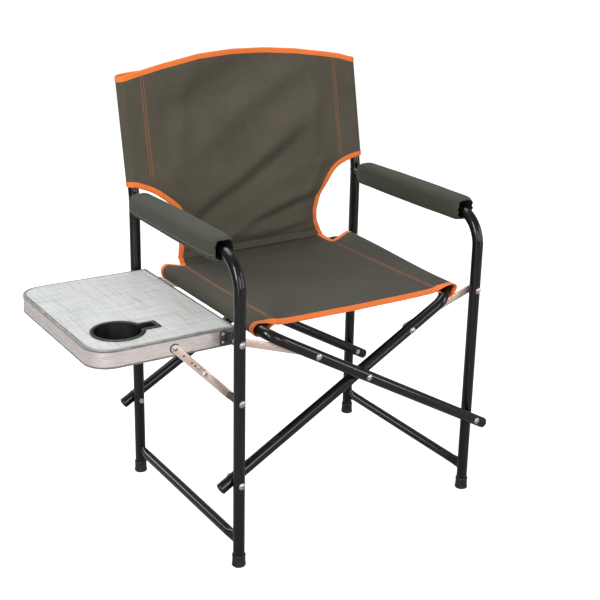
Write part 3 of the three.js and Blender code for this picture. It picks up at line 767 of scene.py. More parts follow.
# ---- Hard parts -----------------------------------------------------------------------------
@dataclass
class SideFrames:
    """Leg and arm tubes, rear posts, lower rails and feet."""

    shop: Workshop
    foot_r: float = 13.4
    foot_height: float = 24.0
    tube_bottom: float = 3.0
    flat_run: float = 34.0

    def tube(self, name: str, corners: Sequence[Sequence[float]], radius: float,
             normal: tuple) -> bpy.types.Object:
        """A round tube along a bent path, closed at both ends."""
        path = bent_path(corners, radius)
        skin = Skin().grid(carried(path, np.array(normal), circle(40) * LAYOUT.tube_r),
                           (False, True), caps=(True, True))
        return skin.build(name)

    def lower_rail(self, side: Side) -> bpy.types.Object:
        """A round rail whose ends are pressed tall and narrow against the leg and the post."""
        run = np.linspace(LAYOUT.front_y + 6, LAYOUT.rear_y - 6, 90) + side.shift
        near = np.minimum(run - run[0], run[-1] - run)
        press = 1 - smooth_step(near, 6, self.flat_run)
        wide, tall = LAYOUT.rail_r - 4.6 * press, LAYOUT.rail_r + 3.6 * press
        ring = circle(36)
        points = np.empty((len(run), 36, 3))
        points[..., 0] = side.value * LAYOUT.half_width + wide[:, None] * ring[:, 0]
        points[..., 1] = run[:, None]
        points[..., 2] = LAYOUT.lower_rail_z + tall[:, None] * ring[:, 1]
        return Skin().grid(points, (False, True), caps=(True, True)).build(
            f"flattened_rail_{side.label}")

    def foot(self, side: Side, end: str, y: float) -> bpy.types.Object:
        """A rubber cap, flared at its sole and rolled at its lip."""
        r, h = self.foot_r, self.foot_height
        profile = np.array([
            [0, 0], [r - 2.2, 0], [r - 0.8, 0.4], [r, 1.6], [r, 4.2], [r - 0.7, 6.0],
            [r - 1.0, h - 3.4], [r - 0.5, h - 2.6], [r - 0.5, h - 0.9], [r - 1.1, h],
            [LAYOUT.tube_r + 0.2, h], [LAYOUT.tube_r + 0.2, 2.8], [0, 2.8]])
        points = turned(profile, np.array([side.value * LAYOUT.half_width, y, 0]),
                        np.array([0, 0, 1]))
        return Skin().grid(points, (False, True)).build(f"rubber_foot_{side.label}_{end}")

    def make(self) -> None:
        """Builds both side frames."""
        for side in Side:
            x, front = side.value * LAYOUT.half_width, LAYOUT.front_y + side.shift
            rear = LAYOUT.rear_y + side.shift
            lean = math.tan(LAYOUT.post_lean)
            leg = self.tube(f"bent_leg_and_arm_{side.label}", [
                (x, front, self.tube_bottom), (x, front, LAYOUT.arm_z),
                (x, rear - LAYOUT.tube_r - 0.3, LAYOUT.arm_z)], LAYOUT.arm_bend_r, (1, 0, 0))
            self.shop.fix(leg, "frame_paint", "black_frame_paint", f"leg_and_arm_{side.label}")
            top_y = rear + (LAYOUT.post_top_z - LAYOUT.post_bend_z) * lean
            post = self.tube(f"bent_post_{side.label}", [
                (x, rear, self.tube_bottom), (x, rear, LAYOUT.post_bend_z),
                (x, top_y, LAYOUT.post_top_z)], LAYOUT.post_bend_r, (1, 0, 0))
            self.shop.fix(post, "frame_paint", "black_frame_paint", f"rear_post_{side.label}")
            self.shop.fix(self.lower_rail(side), "frame_paint", "black_frame_paint",
                          f"lower_rail_{side.label}")
            for end, y in (("front", front), ("rear", rear)):
                self.shop.fix(self.foot(side, end, y), "black_plastic", "black_plastic",
                              f"foot_{side.label}_{end}")


@dataclass
class SeatFrames:
    """The two crossed seat frames with the plugs in their lower ends."""

    shop: Workshop

    def make(self) -> None:
        """Builds both frames."""
        for side in Side:
            front, rear = LAYOUT.front_y + side.shift, LAYOUT.rear_y + side.shift
            reach = -LAYOUT.cross_length - LAYOUT.tube_end
            path = bent_path([
                LAYOUT.on_seat_frame(side.value, reach, front),
                LAYOUT.on_seat_frame(side.value, LAYOUT.rail_reach, front),
                LAYOUT.on_seat_frame(side.value, LAYOUT.rail_reach, rear),
                LAYOUT.on_seat_frame(side.value, reach, rear)], LAYOUT.seat_bend_r)
            along = LAYOUT.on_seat_frame(side.value, 1, 0) - LAYOUT.on_seat_frame(side.value, 0, 0)
            normal = np.cross(along, [0, 1, 0])
            skin = Skin().grid(carried(path, normal, circle(40) * LAYOUT.tube_r), (False, True),
                               caps=(True, True))
            self.shop.fix(skin.build(f"bent_seat_frame_{side.letter}"), "frame_paint",
                          "black_frame_paint", f"seat_frame_{side.letter}")
            for end, y in (("front", front), ("rear", rear)):
                r = LAYOUT.tube_r
                profile = np.array([[0, 0], [r, 0], [r, 1.2], [r - 0.6, 2.2], [r - 2, 3.2],
                                    [r - 5, 4.1], [0, 4.5]])
                at = LAYOUT.on_seat_frame(side.value, reach - 0.1, y)
                plug = Skin().grid(turned(profile, at, -along, 40), (False, True))
                self.shop.fix(plug.build(f"domed_plug_{side.letter}_{end}"), "black_plastic",
                              "black_plastic", f"end_plug_{side.letter}_{end}")


@dataclass
class Fasteners:
    """Pan-head screws with a cross recess, their nuts, and the rivets of the struts."""

    shop: Workshop
    head_r: float = 5.7
    shank_r: float = 3.0

    def screw(self, node: str, head_r: float, head_height: float, nut: bool) -> bpy.types.Object:
        """One screw in the place of a packed bolt, its head at the outer end of the box."""
        low, high = box_of(node)
        front = not node.startswith("arm") and node.endswith("front")
        middle = (low + high) / 2
        at = np.array([middle[0], low[1] if front else high[1], middle[2]])
        axis = np.array([0.0, 1.0 if front else -1.0, 0.0])
        length = high[1] - low[1]
        share = np.linspace(0, 1, 15)
        dome = np.stack([head_r * share, head_height * 0.62 * share ** 2.6], -1)
        tail = [[head_r, head_height * 0.8], [head_r, head_height - 0.3],
                [head_r + 0.9, head_height - 0.25], [head_r + 0.9, head_height],
                [self.shank_r, head_height], [self.shank_r, length], [0, length]]
        sharp = head_r * 0.56

        def recess(a: Array, b: Array) -> Array:
            """Cross recess: depth falls off past each slot's half width and past its reach."""
            slot = np.minimum(np.abs(a), np.abs(b))
            reach = np.maximum(np.abs(a), np.abs(b))
            along = 1 - smooth_step(reach, sharp - 0.8, sharp)
            return 1.5 * (1 - smooth_step(slot, 0.5, 0.95)) * along

        skin = Skin().grid(turned(dome, at, axis, 64, recess), (False, True))
        rim = turned(np.vstack([dome[-1:], tail]), at, axis, 64)
        skin.grid(rim, (False, True))
        if nut:
            self.add_nut(skin, at + axis * (length - 3.5), axis)
        return skin.build(f"screw_{node}", 30.0)

    def add_nut(self, skin: Skin, at: Array, axis: Array) -> None:
        """Hexagon nut: the radius of each ring is the hexagon's, eased to a circle at its ends."""
        angle = np.linspace(0, 2 * np.pi, 48, endpoint=False)
        hexagon = 5.2 / np.cos((angle % (np.pi / 3)) - np.pi / 6)
        rings = [(3.0, 0.0, 0.0), (5.2, 0.0, 0.0), (0, 0.5, 1.0), (0, 3.0, 1.0), (5.2, 3.4, 0.0),
                 (3.0, 3.4, 0.0)]
        grid = np.stack([turned(np.array([[1.0, 0.0]]), np.zeros(3), axis, 48)[0]
                         * (r + share * hexagon)[:, None] + at + h * axis for r, h, share in rings])
        skin.grid(grid, (True, True))

    def rivet(self, node: str, radius: float) -> bpy.types.Object:
        """A rivet with two low domed heads."""
        low, high = box_of(node)
        middle = (low + high) / 2
        length = high[1] - low[1]
        profile = np.array([[0, -1.3], [radius * 0.6, -1.1], [radius * 0.9, -0.5], [radius, 0.1],
                            [2.6, 0.2], [2.6, length - 0.2], [radius, length - 0.1],
                            [radius * 0.9, length + 0.2], [0, length + 0.4]])
        if node.endswith("rear"):
            profile[:, 1] = length - profile[:, 1]
        at = np.array([middle[0], low[1], middle[2]])
        return Skin().grid(turned(profile, at, np.array([0, 1, 0]), 32), (False, True)).build(
            f"rivet_{node}")

    def make(self) -> None:
        """Builds every screw and rivet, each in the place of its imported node."""
        for node in sorted(frame["nodes"]):
            if "_bolt_" in node:
                small = node.startswith("strut_top")
                nut = node.startswith(("lower_bolt", "centre_bolt", "upper_bolt_plain"))
                piece = self.screw(node, 4.2 if small else self.head_r, 1.8 if small else 3.2, nut)
                self.shop.fix(piece, "zinc", "zinc_fastener", node)
            elif node.startswith("knee_rivet"):
                self.shop.fix(self.rivet(node, 4.0), "zinc", "zinc_fastener", node)


def bar_outline(a: Array, b: Array, width: float, tail: float, margin: float) -> Array:
    """Outline in x and z of a bar with round ends, drawn in by a margin, as rows of points."""
    along = unit(b - a)
    across = np.array([-along[1], along[0]])
    angle = np.linspace(-np.pi / 2, np.pi / 2, 17)
    end = np.stack([np.cos(angle), np.sin(angle)], -1) * (width / 2 - margin)
    far = b + along * tail + end[:, :1] * along + end[:, 1:] * across
    near = a - end[:, :1] * along - end[:, 1:] * across
    return np.vstack([far, near])


def plate(outline: Callable[[float], Array], y_from: float, y_to: float, bevel: float) -> Skin:
    """A flat plate across Y: rings of the outline, drawn in at both faces, closed by flat caps."""
    stations = [(bevel, y_from), (bevel * 0.3, y_from + bevel * 0.3), (0.0, y_from + bevel),
                (0.0, y_to - bevel), (bevel * 0.3, y_to - bevel * 0.3), (bevel, y_to)]
    rings = []
    for margin, y in stations:
        flat = outline(margin)
        rings.append(np.stack([flat[:, 0], np.full(len(flat), y), flat[:, 1]], -1))
    return Skin().grid(np.stack(rings), (False, True), caps=(True, True))


@dataclass
class FlatBars:
    """Links between the seat frames and the legs, and the folding struts of the table."""

    shop: Workshop
    link_width: float = 14.5
    strut_width: float = 15.0
    strut_top: tuple[float, float] = (-388.0, 447.0)
    upper_tail: float = 10.0

    def bar(self, name: str, node: str, ends: tuple[Array, Array], width: float, tail: float
            ) -> None:
        """One flat bar between two points of the x-z plane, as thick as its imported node."""
        low, high = box_of(node)
        skin = plate(lambda margin: bar_outline(*ends, width, tail, margin), low[1], high[1], 0.35)
        self.shop.fix(skin.build(name, 30.0), "bar_metal", "bar_aluminium", node)

    def make(self) -> None:
        """Builds the four links, the four strut arms with their stops, and the bosses."""
        for side in Side:
            for end in ("front", "rear"):
                pins = [middle_of(f"{bolt}_{side.label}_{end}")
                        for bolt in ("upper_bolt", "link_bolt")]
                self.bar(f"flat_link_{side.label}_{end}", f"link_{side.label}_{end}",
                         (pins[0], pins[1]), self.link_width, 0.0)
        for end in ("front", "rear"):
            knee, foot = middle_of(f"knee_rivet_{end}"), middle_of(f"strut_leg_bolt_{end}")
            top = np.array(self.strut_top)
            self.bar(f"upper_strut_{end}", f"strut_upper_arm_{end}", (top, knee),
                     self.strut_width, self.upper_tail)
            self.bar(f"lower_strut_{end}", f"strut_lower_arm_{end}", (foot, knee),
                     self.strut_width, 0.0)
            out = -1 if end == "front" else 1
            arm = box_of(f"strut_upper_arm_{end}")
            face = arm[0][1] if end == "front" else arm[1][1]
            at = knee + unit(top - knee) * 19.0
            profile = np.array([[0, 0.16], [3.3, 0.12], [3.6, -0.1], [0, -0.1]])
            stop = Skin().grid(turned(profile, np.array([at[0], face, at[1]]),
                                      np.array([0, out, 0]), 28), (False, True))
            self.shop.fix(stop.build(f"stop_rivet_{end}"), "zinc", "zinc_fastener",
                          body=body_of(f"strut_upper_arm_{end}"))
            self.boss(f"strut_boss_{end}", 7.0, "dark_steel", "dark_steel")
            # Dark steel discs on the upper arm: painted shade standing in for its holes.
            dimple = np.array([[0, 0.12], [2.0, 0.12], [2.4, -0.1], [0, -0.1]])
            painted_hole_shades = Skin()
            for share in (0.28, 0.55, 0.66):
                spot = top + (knee - top) * share
                painted_hole_shades.grid(turned(dimple, np.array([spot[0], face, spot[1]]),
                                 np.array([0, out, 0]), 20), (False, True))
            self.shop.fix(painted_hole_shades.build(f"strut_hole_shades_{end}"), "dark_steel", "dark_steel",
                          body=body_of(f"strut_upper_arm_{end}"))
            wall = SideTable.front if end == "front" else SideTable.rear
            ring = np.array([[3.4, 0], [9.2, 0], [9.2, 1.0], [8.6, 1.6], [3.4, 1.6]])
            washer = Skin().grid(turned(ring, np.array([top[0], wall - out * 1.4, top[1]]),
                                        np.array([0, out, 0]), 40), (True, True))
            self.shop.fix(washer.build(f"strut_washer_{end}"), "black_plastic", "black_plastic",
                          body=body_of("table_frame"))
        self.boss("table_hinge_boss", 9.0, "black_plastic", "black_plastic")

    def boss(self, node: str, radius: float, finish: str, slot: str) -> None:
        """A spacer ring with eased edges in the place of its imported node."""
        low, high = box_of(node)
        middle, length = (low + high) / 2, high[1] - low[1]
        e = 0.6
        profile = np.array([[3.3, 0], [radius - e, 0], [radius, e], [radius, length - e],
                            [radius - e, length], [3.3, length]])
        points = turned(profile, np.array([middle[0], low[1], middle[2]]), np.array([0, 1, 0]), 40)
        self.shop.fix(Skin().grid(points, (True, True)).build(f"turned_{node}", 30.0),
                      finish, slot, node)


@dataclass
class SideTable:
    """Extruded frame with a lip, the board, the cup holder and the hinge brackets."""

    shop: Workshop
    inner: float = -266.0
    outer: float = -541.0
    front: float = -181.5
    rear: float = 199.0
    bottom: float = 432.0
    top: float = 467.0
    corner_r: float = 46.0
    square_r: float = 4.0
    lip: float = 6.0
    wall: float = 13.0
    cup: tuple[float, float] = (-460.8, -102.5)
    cup_r: float = 42.6
    cup_bottom: float = 425.0
    slot_reach: float = 71.5
    slot_half: float = 10.0

    def outline(self, margin: float) -> Array:
        """Outline drawn in by a margin: large arcs outside, small ones at the chair's side."""
        left, right = self.outer + margin, self.inner - margin
        front, rear = self.front + margin, self.rear - margin
        large, small = max(self.corner_r - margin, 1), max(self.square_r - margin, 0.8)
        turns = [(right - small, front + small, small, -90),
                 (right - small, rear - small, small, 0),
                 (left + large, rear - large, large, 90), (left + large, front + large, large, 180)]
        found = []
        for x, y, r, start in turns:
            angle = np.radians(np.linspace(start, start + 90, 14))
            found.append(np.stack([x + r * np.cos(angle), y + r * np.sin(angle)], -1))
        return np.vstack(found)

    def frame_bar(self) -> bpy.types.Object:
        """The extrusion: a profile of margin and height carried round the outline."""
        t, b = self.top, self.bottom
        profile = [
            (0.0, b + 1.6), (0.4, b + 0.4), (1.4, b), (self.wall - 1.4, b), (self.wall, b + 1.2),
            (self.wall, t - 6.0), (self.lip - 0.2, t - 6.0), (self.lip + 0.6, t - 3.0),
            (self.lip + 0.4, t - 1.0),
            (self.lip - 0.2, t - 0.2), (self.lip - 1.0, t), (self.lip - 2.2, t - 0.5),
            (2.2, t - 0.9), (0.8, t - 1.4), (0.1, t - 2.2), (0.0, t - 3.0), (0.2, t - 4.4),
            (1.0, t - 5.2), (1.0, b + 3.8), (0.2, b + 3.0)]
        rings = [np.column_stack([self.outline(m), np.full(56, z)]) for m, z in profile]
        return Skin().grid(np.stack(rings), (True, True)).build("extruded_table_frame", 32.0)

    def wipe_lip(self, piece: bpy.types.Object) -> None:
        """Gives the faces of the lip and of the lower edge the darker copy of the metal, as painted
        shade.
        """
        piece.data.materials.append(self.shop.finishes.get("lip_metal"))
        centres = np.empty(len(piece.data.polygons) * 3)
        piece.data.polygons.foreach_get("center", centres)
        height = centres.reshape(-1, 3)[:, 2] / MM - ORIGIN[2]
        # Faces of the lip and of the lower edge take the painted shade.
        shaded_face = (height > self.top - 4.6) | (height < self.bottom + 3.4)
        piece.data.polygons.foreach_set("material_index", shaded_face.astype(np.int32))

    def keyhole(self, margin: float) -> Array:
        """Outline of the cup and its handle slot, drawn in by a margin (out, where below 0)."""
        r, half = self.cup_r - margin, self.slot_half - margin
        reach, ease = self.slot_reach - margin, 2.5
        start = math.asin(half / r)
        arc = np.linspace(start, 2 * np.pi - start, 72)
        round_part = np.stack([r * np.cos(arc), r * np.sin(arc)], -1)
        low = np.radians(np.linspace(-90, 0, 6))
        corner = np.stack([reach - ease + ease * np.cos(low), ease - half + ease * np.sin(low)], -1)
        neck = np.linspace(r * math.cos(start), reach - ease, 6)[1:-1]
        side = np.stack([neck, np.full(4, -half)], -1)
        mirror = np.array([1, -1])
        ring = np.vstack([round_part, side, corner, corner[::-1] * mirror, side[::-1] * mirror])
        return ring + np.array(self.cup)

    def cup_holder(self) -> bpy.types.Object:
        """Moulded holder: wall, floor and a flange with a rolled edge, all keyhole-shaped."""
        t, low = self.top - 0.7, self.cup_bottom
        profile = [(3.0, low + 2.5), (0.4, low + 3.2), (0.0, low + 5.0), (0.0, t + 1.2),
                   (-0.7, t + 2.0),
                   (-1.8, t + 2.4), (-5.3, t + 2.4), (-6.3, t + 1.8), (-6.7, t + 0.8), (-6.7, t),
                   (-3.0, t), (-3.0, low + 1.0), (-2.0, low)]
        rings = [np.column_stack([self.keyhole(m), np.full(len(self.keyhole(m)), z)])
                 for m, z in profile]
        return Skin().grid(np.stack(rings), (False, True), caps=(True, True)).build(
            "moulded_cup_holder", 32.0)

    def bracket(self, end: str) -> bpy.types.Object:
        """A pressed plate: square at the table and round about the hinge."""
        low, high = box_of(f"table_bracket_{end}")

        def outline(margin: float) -> Array:
            """The plate's outline in x and z, drawn in by a margin."""
            half = (high[2] - low[2]) / 2 - margin
            middle = (high[2] + low[2]) / 2
            round_end = np.radians(np.linspace(-90, 90, 17))
            ease = 6.0 - margin
            hinge = high[0] - margin - half
            turn = np.stack([hinge + half * np.cos(round_end),
                             middle + half * np.sin(round_end)], -1)
            left = low[0] + margin
            up = np.radians(np.linspace(90, 180, 7))
            top = np.stack([left + ease + ease * np.cos(up),
                            middle + half - ease + ease * np.sin(up)], -1)
            down = np.radians(np.linspace(180, 270, 7))
            base = np.stack([left + ease + ease * np.cos(down),
                             middle - half + ease + ease * np.sin(down)], -1)
            return np.vstack([turn, top, base])

        skin = plate(outline, low[1], high[1], 0.5)
        face, out = (low[1], -1.0) if end == "front" else (high[1], 1.0)
        profile = np.array([[0, 1.4], [1.8, 1.1], [2.8, 0.3], [2.8, -1.0], [0, -1.0]])
        rivets = Skin()
        for rise in (7.5, 22.5):
            at = np.array([low[0] + 6.5, face, low[2] + rise])
            rivets.grid(turned(profile, at, np.array([0, out, 0]), 24), (False, True))
        self.shop.fix(rivets.build(f"bracket_rivets_{end}", 30.0), "zinc", "zinc_fastener",
                      body=body_of(f"table_bracket_{end}"))
        return skin.build(f"pressed_bracket_{end}", 30.0)

    def make(self) -> None:
        """Builds the table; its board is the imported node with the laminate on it."""
        bar = self.shop.fix(self.frame_bar(), "table_metal", "brushed_aluminium", "table_frame")
        # Painted shade on the frame's lip and lower edge.
        self.wipe_lip(bar)
        self.shop.fix(self.cup_holder(), "black_plastic", "black_plastic", "cup_holder")
        for end in ("front", "rear"):
            self.shop.fix(self.bracket(end), "dark_steel", "dark_steel", f"table_bracket_{end}")
        board = frame["nodes"]["table_board"]
        board.data.materials.clear()
        board.data.materials.append(self.shop.finishes.get("laminate"))


# ---- Soft parts -----------------------------------------------------------------------------
@dataclass(frozen=True)
class Crease:
    """A soft ridge in cloth: a bell along and across its own direction."""

    x: float
    other: float
    angle: float
    length: float
    width: float
    height: float

    def lift(self, x: Array, other: Array) -> Array:
        """height * exp(-(along / length)^2 - (across / width)^2)."""
        c, s = math.cos(math.radians(self.angle)), math.sin(math.radians(self.angle))
        along = (x - self.x) * c + (other - self.other) * s
        across = (other - self.other) * c - (x - self.x) * s
        return self.height * np.exp(-(along / self.length) ** 2 - (across / self.width) ** 2)


def lifted(creases: Sequence[Crease], x: Array, other: Array) -> Array:
    """Sum of the creases' lifts."""
    return sum((c.lift(x, other) for c in creases), np.zeros_like(x))


def loop_section(centre: float, r: float, seam: float, depth: float, loose: float, corner: float,
                 count: int = 22) -> tuple[Array, Array]:
    """A sleeve's section: from the seam under the sheet, straight to the tube, round it and up.

    Args:
        centre: Distance of the tube from the middle plane.
        r: Radius of the cloth round the tube.
        seam: Distance of the seam from the middle plane.
        depth: Height of the seam below the sheet.
        loose: How far the cloth stands off the tube at its slack corner.
        corner: Direction of that corner in degrees, where 90 faces the sheet.
        count: Points round the tube.
    Returns:
        Distances from the middle plane, and heights above the tube's axis.
    """
    s = np.array([seam - centre, r - depth])
    d = float(np.hypot(*s))
    start = math.degrees(math.atan2(s[1], s[0]) + math.acos(min(r / d, 1.0))) - 360
    angle = np.radians(np.linspace(start, 90, count))
    slack = np.exp(-((np.degrees(angle) - corner) / 30) ** 2) * loose
    a = (r + slack) * np.cos(angle)
    b = np.where(angle > 0, r * np.sin(angle) + slack * np.sin(angle) * 0.4,
                 (r + slack) * np.sin(angle))
    share = np.linspace(0, 1, 9)[:-1]
    a = np.concatenate([s[0] + share * (a[0] - s[0]), a])
    b = np.concatenate([s[1] + share * (b[0] - s[1]), b])
    return centre + a, b


def stitches(line: Array, normal: Array, pitch: float = 5.0, length: float = 3.3,
             r: float = 0.42) -> Array:
    """Stitches along a line on cloth, each a short arched thread.

    Args:
        line: Points of the seam.
        normal: Direction out of the cloth at each point.
        pitch: Distance between stitches.
        length: Length of one stitch.
        r: Radius of the thread.
    Returns:
        Stitches by rings by sides by 3.
    """
    run = run_lengths(line)
    starts = np.arange(pitch / 2, run[-1] - length, pitch)
    share = np.linspace(0, 1, 5)
    at = starts[:, None] + share * length
    centre = np.stack([np.interp(at, run, line[:, k]) for k in range(3)], -1)
    out = unit(np.stack([np.interp(at, run, normal[:, k]) for k in range(3)], -1))
    ahead = unit(np.gradient(centre, axis=1))
    side = unit(np.cross(ahead, out))
    arch = np.sin(np.pi * share)
    centre = centre + out * (arch * 0.5 - 0.15)[None, :, None]
    girth = (r * (0.35 + 0.65 * np.sqrt(arch)))[None, :, None, None]
    ring = circle(6)
    return centre[:, :, None] + girth * (ring[:, :1] * side[:, :, None]
                                         + ring[:, 1:] * out[:, :, None])


def stitch_skin(seams: Sequence[tuple[Array, Array]], **sizes: float) -> Skin:
    """Every stitch of several seams in one skin."""
    skin = Skin()
    for line, normal in seams:
        rows = stitches(line, normal, **sizes)
        for stitch in rows:
            skin.grid(stitch, (False, True), caps=(True, True))
    return skin


def tape(edge: Array, inward: Array, width: float = 9.6, thick: float = 2.9) -> Skin:
    """Binding tape folded over an edge: a flat, rounded section carried along it.

    Args:
        edge: Points of the cloth's edge.
        inward: Direction from the edge into the cloth at each point.
        width: How far the tape reaches over the cloth.
        thick: Thickness of the tape over both faces.
    Returns:
        The tape's skin.
    """
    ahead = tangents(edge)
    inward = unit(inward - ahead * np.sum(inward * ahead, -1, keepdims=True))
    normal = np.cross(ahead, inward)
    h = thick / 2
    section = np.array([
        [width, 0.75 * h], [width * 0.66, h], [width * 0.33, h], [1.0, h], [-0.3, 0.82 * h],
        [-1.2, 0.4 * h], [-1.5, 0.0], [-1.2, -0.4 * h], [-0.3, -0.82 * h], [1.0, -h],
        [width * 0.33, -h], [width * 0.66, -h], [width, -0.75 * h]])
    run = run_lengths(edge)
    pucker = 1 + 0.10 * np.sin(run / 3.1) * np.sin(run / 17.0)
    points = (edge[:, None] + section[:, :1] * inward[:, None]
              + section[:, 1:] * normal[:, None] * pucker[:, None, None])
    around = run_lengths(np.vstack([section, section[:1]]))
    chart = np.stack(np.broadcast_arrays(run[:, None], around[None]), -1) * MM
    return Skin().grid(points, (False, True), chart, (True, True))


def resampled(line: Array, *others: Array, step: float = 3.0) -> list[Array]:
    """A line and what goes with it, at even steps along the line."""
    run = run_lengths(line)
    at = np.linspace(0, run[-1], max(int(run[-1] / step), 4))
    return [np.stack([np.interp(at, run, v[:, k]) for k in range(3)], -1) for v in (line, *others)]


def chart_of(grid: Array) -> Array:
    """Map of a sheet in metres: lengths along its middle row and down its middle column."""
    rows = run_lengths(grid[:, grid.shape[1] // 2])
    columns = run_lengths(grid[grid.shape[0] // 2])
    return np.stack(np.meshgrid(rows, columns, indexing="ij"), -1) * MM


@dataclass
class Canvas:
    """What the seat and the back have in common: cloth, tapes and stitches across a joint."""

    shop: Workshop
    wall: float = 1.3
    blend_half: float = 25.0
    back_y: float = 199.8

    def across(self, piece: bpy.types.Object, finish: str, slot: str, name: str
               ) -> bpy.types.Object:
        """Dresses a piece and bakes its place into its mesh."""
        self.shop.dress(piece, finish, slot)
        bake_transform(piece)
        return piece

    def bind(self, edge: Array, inward: Array, name: str, cloth: str) -> bpy.types.Object:
        """Binding tape along an edge."""
        strip = tape(*resampled(edge, inward)).build(name, 50.0)
        return self.across(strip, "binding", "binding_tape", cloth)

    def sew(self, seams: Sequence[tuple[Array, Array]], name: str, cloth: str
            ) -> bpy.types.Object:
        """Rows of stitches in one piece."""
        return self.across(stitch_skin(seams).build(name), "orange_thread", "binding_tape", cloth)


